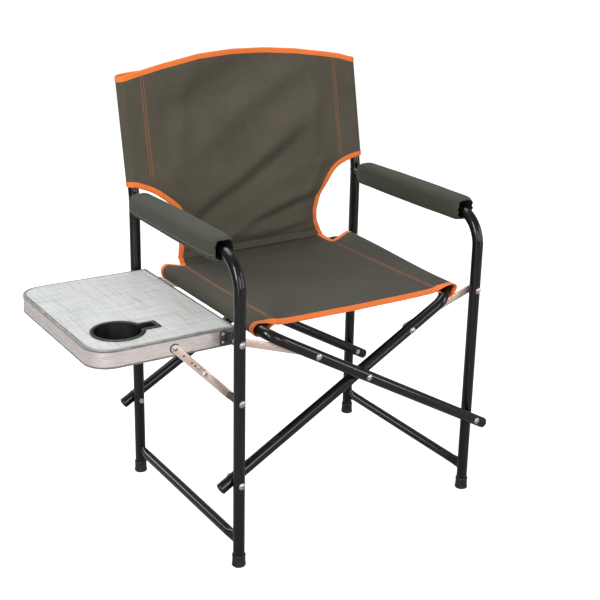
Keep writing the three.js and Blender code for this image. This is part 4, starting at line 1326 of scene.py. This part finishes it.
@dataclass
class Seat(Canvas):
    """The seat: one sheet with a sleeve round each rail, turned up at the waist."""

    front: float = -187.0
    rear: float = 189.0
    seam: float = 184.0
    panel_x: float = 188.0
    rail_x: float = 222.0
    rail_z: float = 453.2
    cloth_r: float = 12.4
    sheet_z: float = 465.6
    curl_r: float = 7.0
    waist_z: float = 494.0
    waist: tuple[float, float] = (-185.0, 168.0)
    creases: tuple[Crease, ...] = (
        Crease(-60, -95, 6, 150, 14, 1.2), Crease(70, -20, -5, 160, 16, 1.3),
        Crease(-30, 50, 4, 170, 15, -1.3), Crease(60, 110, -8, 130, 14, 1.5),
        Crease(-110, 130, 30, 70, 10, 1.8), Crease(100, 145, -25, 70, 9, 1.6),
        Crease(0, -150, 0, 160, 12, -0.9), Crease(-20, 168, 3, 120, 8, 1.6))

    def panel_height(self, x: Array, y: Array) -> Array:
        """Height of the sheet: level at the rails, sagging most in the middle, with creases."""
        deep = 4.2 + 4.3 * (1 - ((y - 10) / 200) ** 2)
        sag = deep * (1 - np.clip(np.abs(x) / self.rail_x, 0, 1) ** 3.0)
        fade = 1 - smooth_step(np.abs(x), 165, 200)
        fine = 0.35 * np.sin(x / 23 + y / 41) * np.sin(y / 13 + 1.3 * np.sin(x / 57))
        return self.sheet_z - sag + fade * (lifted(self.creases, x, y) + fine)

    def columns(self) -> tuple[Array, Array, Array]:
        """Section across the seat: place, height above the rail, and 1 on the flat panel."""
        parts = []
        for side, slack, corner in ((Side.TABLE, 1.5, 10), (Side.PLAIN, 5.5, 25)):
            a, b = loop_section(self.rail_x, self.cloth_r, self.seam, 1.7, slack, corner)
            parts.append((a * side.value, b))
        rail, panel = self.rail_x, self.panel_x
        flat = np.concatenate([np.linspace(-rail, -panel, 6)[1:],
                               np.linspace(-panel, panel, 75)[1:-1],
                               np.linspace(panel, rail, 6)[:-1]])
        x = np.concatenate([parts[0][0], flat, parts[1][0][::-1]])
        h = np.concatenate([parts[0][1], np.full(len(flat), self.cloth_r), parts[1][1][::-1]])
        on = np.concatenate([np.zeros(len(parts[0][0])), np.ones(len(flat)),
                             np.zeros(len(parts[1][0]))])
        return x, h, on

    def main_grid(self) -> Array:
        """The whole width from front to rear, its front edge curling down between the rails."""
        x, h, on = self.columns()
        curl = np.linspace(0, 11, 7)[::-1]
        first = self.front + self.curl_r
        y = np.concatenate([np.full(7, first), np.linspace(first, self.rear, 74)[1:]])
        extra = np.concatenate([curl, np.zeros(73)])
        xs, ys = np.meshgrid(x, y)
        turn = np.broadcast_to(extra[:, None], xs.shape)
        share = 1 - smooth_step(np.abs(xs), 176, 214)
        share = np.where(on[None] > 0, share, 0.0)
        angle = np.minimum(turn / self.curl_r, np.pi / 2)
        ys = ys - np.where(turn > 0, share * self.curl_r * np.sin(angle)
                           + (1 - share) * turn * 0.75, 0)
        drop = share * self.curl_r * (1 - np.cos(angle))
        panel = self.panel_height(xs, np.clip(ys, -180, 200))
        loop = self.rail_z + np.broadcast_to(h[None], xs.shape)
        seam_drop = self.sheet_z - self.panel_height(np.full_like(xs, self.seam), ys)
        near = 1 - smooth_step(np.abs(xs), self.seam, self.seam + 22)
        loop = np.where(h[None] > 0, loop - near * seam_drop, loop)
        zs = np.where(on[None] > 0, panel - drop, loop)
        reach = smooth_step(np.abs(xs), self.seam, 236)
        upper = np.where(on[None] > 0, 1.0, smooth_step(h[None], -9, 10))
        slack = np.where(xs > 0, 2.5 + 13.0 * smooth_step(ys, -150, 185),
                         1.0 + 6.0 * smooth_step(ys, 0, 185))
        return np.stack([xs, ys, zs + slack * reach * upper], -1)

    def rear_grid(self, row: Array) -> Array:
        """From the seat's rear edge up to the waist, on a curve with one bend."""
        x, _, on = self.columns()
        start = row[(on > 0) & (np.abs(x) < self.panel_x + 0.01)]
        t = np.linspace(0, 1, 12)[:, None]
        x0 = start[:, 0]
        x1 = np.interp(x0, [-self.panel_x, self.panel_x], self.waist)
        x = x0 + (x1 - x0) * smooth_step(t, 0, 1)
        behind = 3.2
        y2 = self.back_y + 12 + x1 * LAYOUT.layer / (2 * LAYOUT.half_width) + behind
        y = (1 - t) ** 2 * start[:, 1] + 2 * t * (1 - t) * (y2 + 1.0) + t ** 2 * y2
        z = (1 - t) ** 2 * start[:, 2] + 2 * t * (1 - t) * (start[:, 2] + 1) + t ** 2 * self.waist_z
        return np.stack([x, y, z], -1)

    def make(self) -> None:
        """Builds the sheet, its tapes and its stitches."""
        main = self.main_grid()
        rear = self.rear_grid(main[-1])
        skin = Skin().grid(main, chart=chart_of(main))
        skin.grid(rear, chart=chart_of(rear) + np.array([main[-1, 60, 1] * MM, 0.1]))
        cloth = skin.build("seat_canvas", 60.0, self.wall)
        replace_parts(self.across(cloth, "seat_fabric", "seat_fabric", "seat_cloth"),
                    "seat_cloth_a", "seat_cloth_b")
        tapes = [self.bind(main[0], main[1] - main[0], "seat_front_tape", "seat_cloth")]
        last, before = main[-1], main[-2]
        middle = len(last) // 2
        past_panel = np.where(last[:middle, 0] < -self.panel_x + 0.1)[0]
        left = np.arange(past_panel[-1] + 1)
        right = np.arange(len(last) - len(left), len(last))
        for name, ring, column, inner in (
                ("table_side", left, 0, 1), ("plain_side", right[::-1], -1, -2)):
            edge = np.vstack([last[ring], rear[1:, column]])
            inward = np.vstack([before[ring] - last[ring], rear[1:, inner] - rear[1:, column]])
            tapes.append(self.bind(edge, unit(inward), f"seat_waist_tape_{name}", "seat_cloth"))
        seams = []
        y = np.linspace(self.front + 8, self.rear - 4, 160)
        for x in (-self.seam - 5.5, -self.seam, self.seam, self.seam + 5.5):
            z = self.panel_height(np.full_like(y, x), y) + self.wall / 2
            line = np.stack([np.full_like(y, x), y, z], -1)
            seams.append((line, np.broadcast_to([0.0, 0.0, 1.0], line.shape)))
        sewn = self.sew(seams, "seat_stitching", "seat_cloth")


@dataclass
class Back(Canvas):
    """The back: one sheet with a sleeve round each post, cut in at the waist."""

    sleeve_z: float = 641.0
    bottom_z: float = 474.0
    seam: tuple[float, float] = (-244.0, 236.0)
    post_x: float = 280.0
    cloth_r: float = 12.3
    left_arc: tuple[tuple[float, float], ...] = (
        (-189, 474), (-186, 490), (-185, 507), (-183, 545), (-184, 572), (-190, 582),
        (-204, 594), (-219, 606), (-236, 619), (-252, 627), (-267, 633), (-280, 638))
    right_arc: tuple[tuple[float, float], ...] = (
        (179, 474), (170, 490), (164, 507), (160, 529), (167, 552), (176, 572), (186, 588),
        (198, 603), (211, 616), (228, 627), (252, 635), (280, 640))
    top_arc: tuple[tuple[float, float], ...] = (
        (-300, 850), (-280, 853), (-263, 857), (-197, 870), (-106, 885), (-24, 890), (61, 888),
        (137, 882), (215, 871), (255, 864), (282, 856), (300, 853))
    creases: tuple[Crease, ...] = (
        Crease(-130, 790, 22, 90, 30, -9), Crease(-95, 715, 30, 90, 26, 8),
        Crease(110, 800, 24, 80, 28, -8), Crease(95, 735, 22, 80, 24, 7),
        Crease(-35, 830, 17, 110, 36.4, -18.09), Crease(10, 790, 16, 150, 33.6, 11.42),
        Crease(70, 655, 26, 110, 22.4, -9.24), Crease(60, 690, 30, 120, 22.4, 7.98),
        Crease(-35, 602, 30, 130, 23.8, -10.64), Crease(-10, 640, 30, 120, 21, 7.98),
        Crease(-120, 555, 38, 60, 16.8, -7.98), Crease(100, 570, 14, 90, 16.8, 8.68),
        Crease(70, 541, 16, 100, 14, -9.24), Crease(-40, 520, 16, 110, 14, 6.72),
        Crease(-205, 640, -48, 50, 14, 6.72), Crease(-190, 660, -50, 60, 12.6, -5.32),
        Crease(170, 740, 80, 90, 19.6, 7.85), Crease(-160, 760, 78, 90, 21, 6.66),
        Crease(120, 500, 10, 70, 11.2, -6.72), Crease(-120, 505, 4, 60, 11.2, 5.32),
        Crease(160, 610, 55, 60, 12.6, 5.32))

    def depth(self, x: Array, z: Array) -> Array:
        """Y of the sheet: upright at the waist and leaning above it, skewed by half a layer."""
        rise = (z - 596) / 12
        soft = 12 * np.log1p(np.exp(np.clip(rise, -30, 30)))
        base = self.back_y + math.tan(LAYOUT.post_lean) * soft
        base = base + 12 + x * LAYOUT.layer / (2 * LAYOUT.half_width)
        across = 1 - smooth_step(np.abs(x), 185, 245)
        low = 1 - smooth_step(np.abs(x), 120, 190)
        bulge = (-9 * np.exp(-((z - 506) / 16) ** 2) + 4 * np.exp(-((z - 484) / 7) ** 2)) * low
        bulge = bulge - 10 * (1 - smooth_step(z, 472, 486)) * low
        bow = 5.0 * (1 - (x / self.post_x) ** 2) * smooth_step(z, 600, 760)
        fine = 0.5 * np.sin(x / 37 + z / 29) * np.sin(z / 23 - x / 61)
        fade = smooth_step(z, 486, 500)
        return base + bulge + bow + across * fade * (fine - lifted(self.creases, x, z))

    def lower_grid(self) -> Array:
        """Below the sleeves: rows between points at even lengths along the two waist arcs."""
        t = np.linspace(0, 1, 60)
        edges = []
        for arc in (self.left_arc, self.right_arc):
            points = np.array(arc)
            knots = run_lengths(points) / run_lengths(points)[-1]
            smooth = np.stack([np.interp(t, knots, points[:, k]) for k in range(2)], -1)
            kernel = np.array([0.25, 0.5, 0.25])
            for _ in range(6):
                smooth[1:-1] = np.stack([np.convolve(smooth[:, k], kernel, "valid")
                                         for k in range(2)], -1)
            edges.append(smooth)
        u = np.linspace(0, 1, 81)[None]
        x = edges[0][:, :1] * (1 - u) + edges[1][:, :1] * u
        middle = np.linspace(self.bottom_z, self.sleeve_z - 1, 60)[:, None]
        left = (edges[0][:, 1:] - middle) * np.clip(1 - 2 * u, 0, 1) ** 1.6
        right = (edges[1][:, 1:] - middle) * np.clip(2 * u - 1, 0, 1) ** 1.6
        z = middle + left + right
        return np.stack([x, self.depth(x, z), z], -1)

    def upper_grid(self, start: Array) -> Array:
        """Between the sleeve bottoms and the top edge, with a sleeve at each end of a row."""
        sections = []
        for side, slack in ((Side.TABLE, 1.0), (Side.PLAIN, 2.0)):
            seam = abs(self.seam[0 if side is Side.TABLE else 1])
            a, b = loop_section(self.post_x, self.cloth_r, seam, 1.7, slack, 20)
            sections.append((a * side.value, b - self.cloth_r))
        x = np.concatenate([sections[0][0][:-1], start[:, 0], sections[1][0][:-1][::-1]])
        off = np.concatenate([sections[0][1][:-1], np.zeros(len(start)), sections[1][1][:-1][::-1]])
        z0 = np.concatenate([np.full(len(sections[0][0]) - 1, start[0, 2]), start[:, 2],
                             np.full(len(sections[1][0]) - 1, start[-1, 2])])
        top = np.interp(x, *np.array(self.top_arc).T)
        v = np.linspace(0, 1, 70)[:, None]
        z = z0 + (top - z0) * v
        xs = np.broadcast_to(x, z.shape)
        held = np.clip(xs, -self.post_x, self.post_x)
        y = self.depth(held, z) - off[None]
        return np.stack([xs, y, z], -1)

    def make(self) -> None:
        """Builds the sheet, its tapes and its stitches."""
        lower = self.lower_grid()
        upper = self.upper_grid(lower[-1])
        skin = Skin().grid(lower, chart=chart_of(lower)).grid(
            upper, chart=chart_of(upper) + np.array([lower[-1, 40, 2] * MM, 0.05]))
        cloth = skin.build("back_canvas", 60.0, self.wall)
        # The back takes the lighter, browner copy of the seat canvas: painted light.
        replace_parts(self.across(cloth, "back_fabric", "seat_fabric", "back_cloth"),
                    "back_cloth_a", "back_cloth_b")
        tapes = [self.bind(upper[-1], upper[-2] - upper[-1], "back_top_tape", "back_cloth")]
        count = (upper.shape[1] - lower.shape[1]) // 2
        last = upper.shape[1] - 1
        for name, ring, column, inner in (
                ("table_side", np.arange(count + 1), 0, 1),
                ("plain_side", np.arange(last, last - count - 1, -1), -1, -2)):
            edge = np.vstack([upper[0, ring], lower[::-1][1:, column]])
            inward = np.vstack([upper[1, ring] - upper[0, ring],
                                (lower[::-1][1:, inner] - lower[::-1][1:, column])])
            tapes.append(self.bind(edge, unit(inward), f"back_waist_tape_{name}", "back_cloth"))
        seams = []
        for x in (self.seam[0], self.seam[0] + 6, self.seam[1] - 6, self.seam[1]):
            z = np.linspace(648, float(np.interp(x, *np.array(self.top_arc).T)) - 10, 120)
            xs = np.full_like(z, x)
            line = np.stack([xs, self.depth(xs, z) - self.wall / 2, z], -1)
            seams.append((line, np.broadcast_to([0.0, -1.0, 0.2], line.shape)))
        sewn = self.sew(seams, "back_stitching", "back_cloth")


@dataclass
class ArmPads:
    """Padded sleeves on the arm tubes: crowned foam in cloth, gathered at both ends."""

    shop: Workshop
    front: float = 57.0
    length: float = 359.0
    width: float = 48.0
    height: float = 49.0
    rise: float = 1.6

    def radius(self, angle: Array, corner: float = 3.4) -> tuple[Array, Array]:
        """Half extents of the section: a superellipse, rounder than a box."""
        c, s = np.cos(angle), np.sin(angle)
        scale = (np.abs(c) ** corner + np.abs(s) ** corner) ** (-1 / corner)
        return c * scale * self.width / 2, s * scale * self.height / 2

    def grid(self, side: Side) -> Array:
        """Outer skin from one mouth to the other, then back inside along the tube."""
        angle = np.linspace(0, 2 * np.pi, 144, endpoint=False)[None]
        ease = 0.5 - 0.5 * np.cos(np.linspace(0, np.pi, 110))
        end = 0.12
        run = np.concatenate([ease * end, np.linspace(end, 1 - end, 90)[1:-1],
                              1 - ease[::-1] * end])
        run = run[:, None] * self.length
        near = np.minimum(run, self.length - run)
        ruffle = (np.sin(11 * angle + 1.3 * np.sin(3 * angle + side.value))
                  + 0.5 * np.sin(23 * angle + side.value))
        pull = np.exp(-near / 9.0)
        shrink = 1 - 0.20 * np.exp(-(near / 7.0) ** 1.4) + 0.032 * pull * ruffle
        a, b = self.radius(angle)
        crown = 1 - 0.025 * np.cos(2 * np.pi * run / self.length)
        dimple = 0.010 * np.sin(run / 27 + side.value) * np.sin(2 * angle + run / 63)
        a, b = a * shrink * (crown + dimple), b * shrink * (crown + dimple)
        off = np.angle(np.exp(1j * (angle - self.flap(side)))) * side.value
        lap = np.exp(-(off / 0.06) ** 2) * 0.17 - 0.05 * np.exp(-((off - 0.16) / 0.09) ** 2)
        a, b = (v * (1 - lap * smooth_step(near, 1, 12)) for v in (a, b))
        mouth = 2.0 * np.exp(-near / 3.0) * np.sin(11 * angle + 0.8 + side.value) * 0.5
        outward = np.where(run < self.length / 2, -1.0, 1.0)
        y = LAYOUT.front_y + self.front + side.shift / 2 + run + outward * mouth
        return np.stack(np.broadcast_arrays(
            side.value * LAYOUT.half_width + a, y, LAYOUT.arm_z + self.rise + b), -1)

    @staticmethod
    def flap(side: Side) -> float:
        """Angle, about the tube, of the edge where the sleeve's flap closes."""
        return 1.5 * np.pi + side.value * 0.98

    def liner(self, outer: Array, side: Side) -> tuple[Array, Array]:
        """Rings that fold in from each mouth, down to the tube, and run along it."""
        x, z = side.value * LAYOUT.half_width, LAYOUT.arm_z
        rings = []
        for ring, way in ((outer[0], 1), (outer[-1], -1)):
            centre = np.array([x, 0, z + self.rise])
            flat = (ring - centre) * np.array([1, 0, 1])
            found = []
            for share, inset in ((0.96, -0.4), (0.92, 0.6), (0.89, 3.0), (0.86, 8.0), (0.62, 15.0)):
                place = centre + flat * share
                place[:, 1] = ring[:, 1] + way * inset
                found.append(place)
            angle = np.arctan2(flat[:, 2], flat[:, 0])
            depth = np.full(len(ring), ring[:, 1].mean() + way * 19)
            last = np.stack([x + 11.4 * np.cos(angle), depth, z + 11.4 * np.sin(angle)], -1)
            rings.append(np.stack([*found, last]))
        return rings[0], rings[1]

    def make(self) -> None:
        """Builds both pads with painted shade in their mouths and slits, and with their stitches.
        """
        for side in Side:
            outer = self.grid(side)
            front, rear = self.liner(outer, side)
            whole = np.concatenate([outer, rear, front[::-1]])
            around = run_lengths(np.vstack([outer[60], outer[60][:1]]))
            along = run_lengths(whole[:, 36])
            along = np.append(along, along[-1] + 300)
            chart = np.stack(np.meshgrid(along, around, indexing="ij"), -1) * MM
            pad = Skin().grid(whole, (True, True), chart).build(f"padded_sleeve_{side.label}", 70.0)
            self.shop.fix(pad, "arm_fabric", "arm_fabric", f"arm_pad_{side.label}")
            # Second material: near-black painted shade for the mouths and the slit.
            pad.data.materials.append(self.shop.finishes.get("sleeve_lining"))
            self.line_mouths(pad, outer, side)
            seams = []
            for turn in (0.18, 0.02):
                row = int(round((self.flap(side) + side.value * turn) / (2 * np.pi) * 144)) % 144
                line = outer[12:-12, row]
                out = line - np.array([side.value * LAYOUT.half_width, 0, LAYOUT.arm_z + self.rise])
                seams.append((line, unit(out * np.array([1, 0, 1]))))
            sewn = stitch_skin(seams, r=0.42).build(f"pad_stitching_{side.label}")
            self.shop.fix(sewn, "tan_thread", "arm_fabric", body=pad["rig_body"])

    @staticmethod
    def line_mouths(pad: bpy.types.Object, outer: Array, side: Side) -> None:
        """Gives the faces inside each mouth and along the flap's slit near-black cloth, as painted
        shade.
        """
        count = len(pad.data.polygons)
        centres = np.empty(count * 3)
        pad.data.polygons.foreach_get("center", centres)
        centres = centres.reshape(-1, 3) / MM - ORIGIN
        middle = np.array([side.value * LAYOUT.half_width, LAYOUT.arm_z + 3.0])
        reach = np.abs(centres[:, [0, 2]] - middle)
        normals = np.empty(count * 3)
        pad.data.polygons.foreach_get("normal", normals)
        outward = centres[:, [0, 2]] - middle
        # Faces turned inward, faces near the tube and faces along the flap's slit take the painted
        # shade.
        inside = np.sum(normals.reshape(-1, 3)[:, [0, 2]] * outward, -1) < -1.5
        inside |= np.max(reach, -1) < 16
        angle = np.arctan2(centres[:, 2] - middle[1], centres[:, 0] - middle[0])
        off = np.angle(np.exp(1j * (angle - ArmPads.flap(side))))
        span = centres[:, 1]
        inside |= (np.abs(off) < 0.06) & (span > outer[:, 0, 1].min() + 9) & (
            span < outer[:, 0, 1].max() - 9)
        pad.data.polygons.foreach_set("material_index", inside.astype(np.int32))


# ---- Studio ---------------------------------------------------------------------------------
@dataclass
class Studio:
    """Camera, lights, floor and surroundings."""

    azimuth: float = -32.84
    elevation: float = 18.22
    roll: float = 1.31
    distance: float = 2395.8
    target_z: float = 479.55
    lens: float = 70.68
    shift: tuple[float, float] = (-0.0115, -0.0512)

    def camera(self) -> None:
        """Camera on a sphere about the chair, turned about its own axis by the roll."""
        az, el, roll = (math.radians(v) for v in (self.azimuth, self.elevation, self.roll))
        back = np.array([math.sin(az) * math.cos(el), -math.cos(az) * math.cos(el), math.sin(el)])
        right = unit(np.cross(-back, [0, 0, 1]))
        up = np.cross(right, -back)
        across = right * math.cos(roll) + up * math.sin(roll)
        upright = -right * math.sin(roll) + up * math.cos(roll)
        place = (np.array([0, 0, self.target_z]) + back * self.distance + ORIGIN) * MM
        data = bpy.data.cameras.new("studio_camera")
        data.lens, data.sensor_width = self.lens, 36.0
        data.shift_x, data.shift_y = self.shift
        camera = bpy.data.objects.new("studio_camera", data)
        camera.matrix_world = Matrix([[*row, p] for row, p in zip(
            np.stack([across, upright, back], -1).tolist(), place.tolist())] + [[0, 0, 0, 1]])
        bpy.context.scene.collection.objects.link(camera)
        bpy.context.scene.camera = camera

    def lamp(self, name: str, place: tuple, size: tuple, power: float, tint: tuple) -> None:
        """A rectangular soft light aimed at the middle of the chair."""
        data = bpy.data.lights.new(name, "AREA")
        data.shape, data.size, data.size_y, data.energy = "RECTANGLE", *size, power
        data.color = tint
        lamp = bpy.data.objects.new(name, data)
        back = unit(np.array(place) - np.array([0, 0, 0.45]))
        right = unit(np.cross([0, 0, 1], back))
        lamp.matrix_world = Matrix([[*row, p] for row, p in zip(
            np.stack([right, np.cross(back, right), back], -1).tolist(), place)] + [[0, 0, 0, 1]])
        bpy.context.scene.collection.objects.link(lamp)

    def floor(self) -> None:
        """A wide pale floor under the feet."""
        mesh = bpy.data.meshes.new("pale_floor")
        s = 14.0
        mesh.from_pydata([(-s, -s, -0.0004), (s, -s, -0.0004), (s, s, -0.0004), (-s, s, -0.0004)],
                         [], [(0, 1, 2, 3)])
        floor = bpy.data.objects.new("pale_floor", mesh)
        material = bpy.data.materials.new("pale_floor")
        material.use_nodes = True
        shader = material.node_tree.nodes["Principled BSDF"]
        tree = Tree(material.node_tree)
        shader.inputs["Base Color"].default_value = (0.42, 0.42, 0.42, 1)
        shader.inputs["Roughness"].default_value = 0.9
        shader.inputs["Emission Color"].default_value = (1, 1, 1, 1)
        seen = tree.node("LightPath").outputs["Is Camera Ray"]
        tree.feed(shader.inputs["Emission Strength"], tree.math("MULTIPLY", seen, 0.92))
        mesh.materials.append(material)
        bpy.context.scene.collection.objects.link(floor)

    def world(self) -> None:
        """White backdrop to the camera, and a dimmer, even light on the chair."""
        world = bpy.data.worlds.new("studio")
        world.use_nodes = True
        tree = Tree(world.node_tree)
        shader = world.node_tree.nodes["Background"]
        path = tree.node("LightPath").outputs
        gloss = tree.math("MULTIPLY_ADD", path["Is Glossy Ray"], 0.06, 0.26)
        tree.feed(shader.inputs["Color"], (1, 1, 1, 1))
        tree.feed(shader.inputs["Strength"],
                  tree.math("MULTIPLY_ADD", path["Is Camera Ray"], 0.75, gloss))
        bpy.context.scene.world = world

    def make(self) -> None:
        """Sets the whole studio."""
        self.camera()
        self.floor()
        self.world()
        self.lamp("key_left", (-2.6, -1.5, 2.2), (0.6, 1.8), 72.0, (1.0, 1.0, 0.98))
        self.lamp("fill_right", (2.6, -2.0, 1.4), (0.35, 2.0), 28.0, (1.0, 0.90, 0.88))
        self.lamp("top_soft", (0.0, 0.9, 3.0), (2.2, 1.6), 46.0, (0.98, 0.99, 1.0))
        self.lamp("front_soft", (-0.4, -3.2, 1.5), (1.0, 1.6), 30.0, (1.0, 0.97, 0.95))
        self.lamp("strip_left", (-2.4, -2.0, 0.9), (0.12, 2.0), 14.0, (1.0, 1.0, 1.0))
        self.lamp("strip_right", (1.3, -2.9, 0.9), (0.12, 2.0), 12.0, (1.0, 0.96, 0.94))
        self.lamp("rim_rear", (-1.2, 2.8, 1.5), (1.6, 0.8), 22.0, (1.0, 1.0, 1.0))
        bpy.context.scene.view_settings.view_transform = "Standard"


def main() -> None:
    """Builds the chair's pieces in order."""
    logging.basicConfig(level=logging.INFO, format="%(name)s: %(message)s")
    shop = Workshop()
    Studio().make()
    for maker in (SideFrames(shop), SeatFrames(shop), Fasteners(shop), FlatBars(shop),
                  SideTable(shop), Seat(shop), Back(shop), ArmPads(shop)):
        maker.make()
    log.info("%d pieces", shop.pieces)
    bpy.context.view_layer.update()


if __name__ == "__main__":
    main()
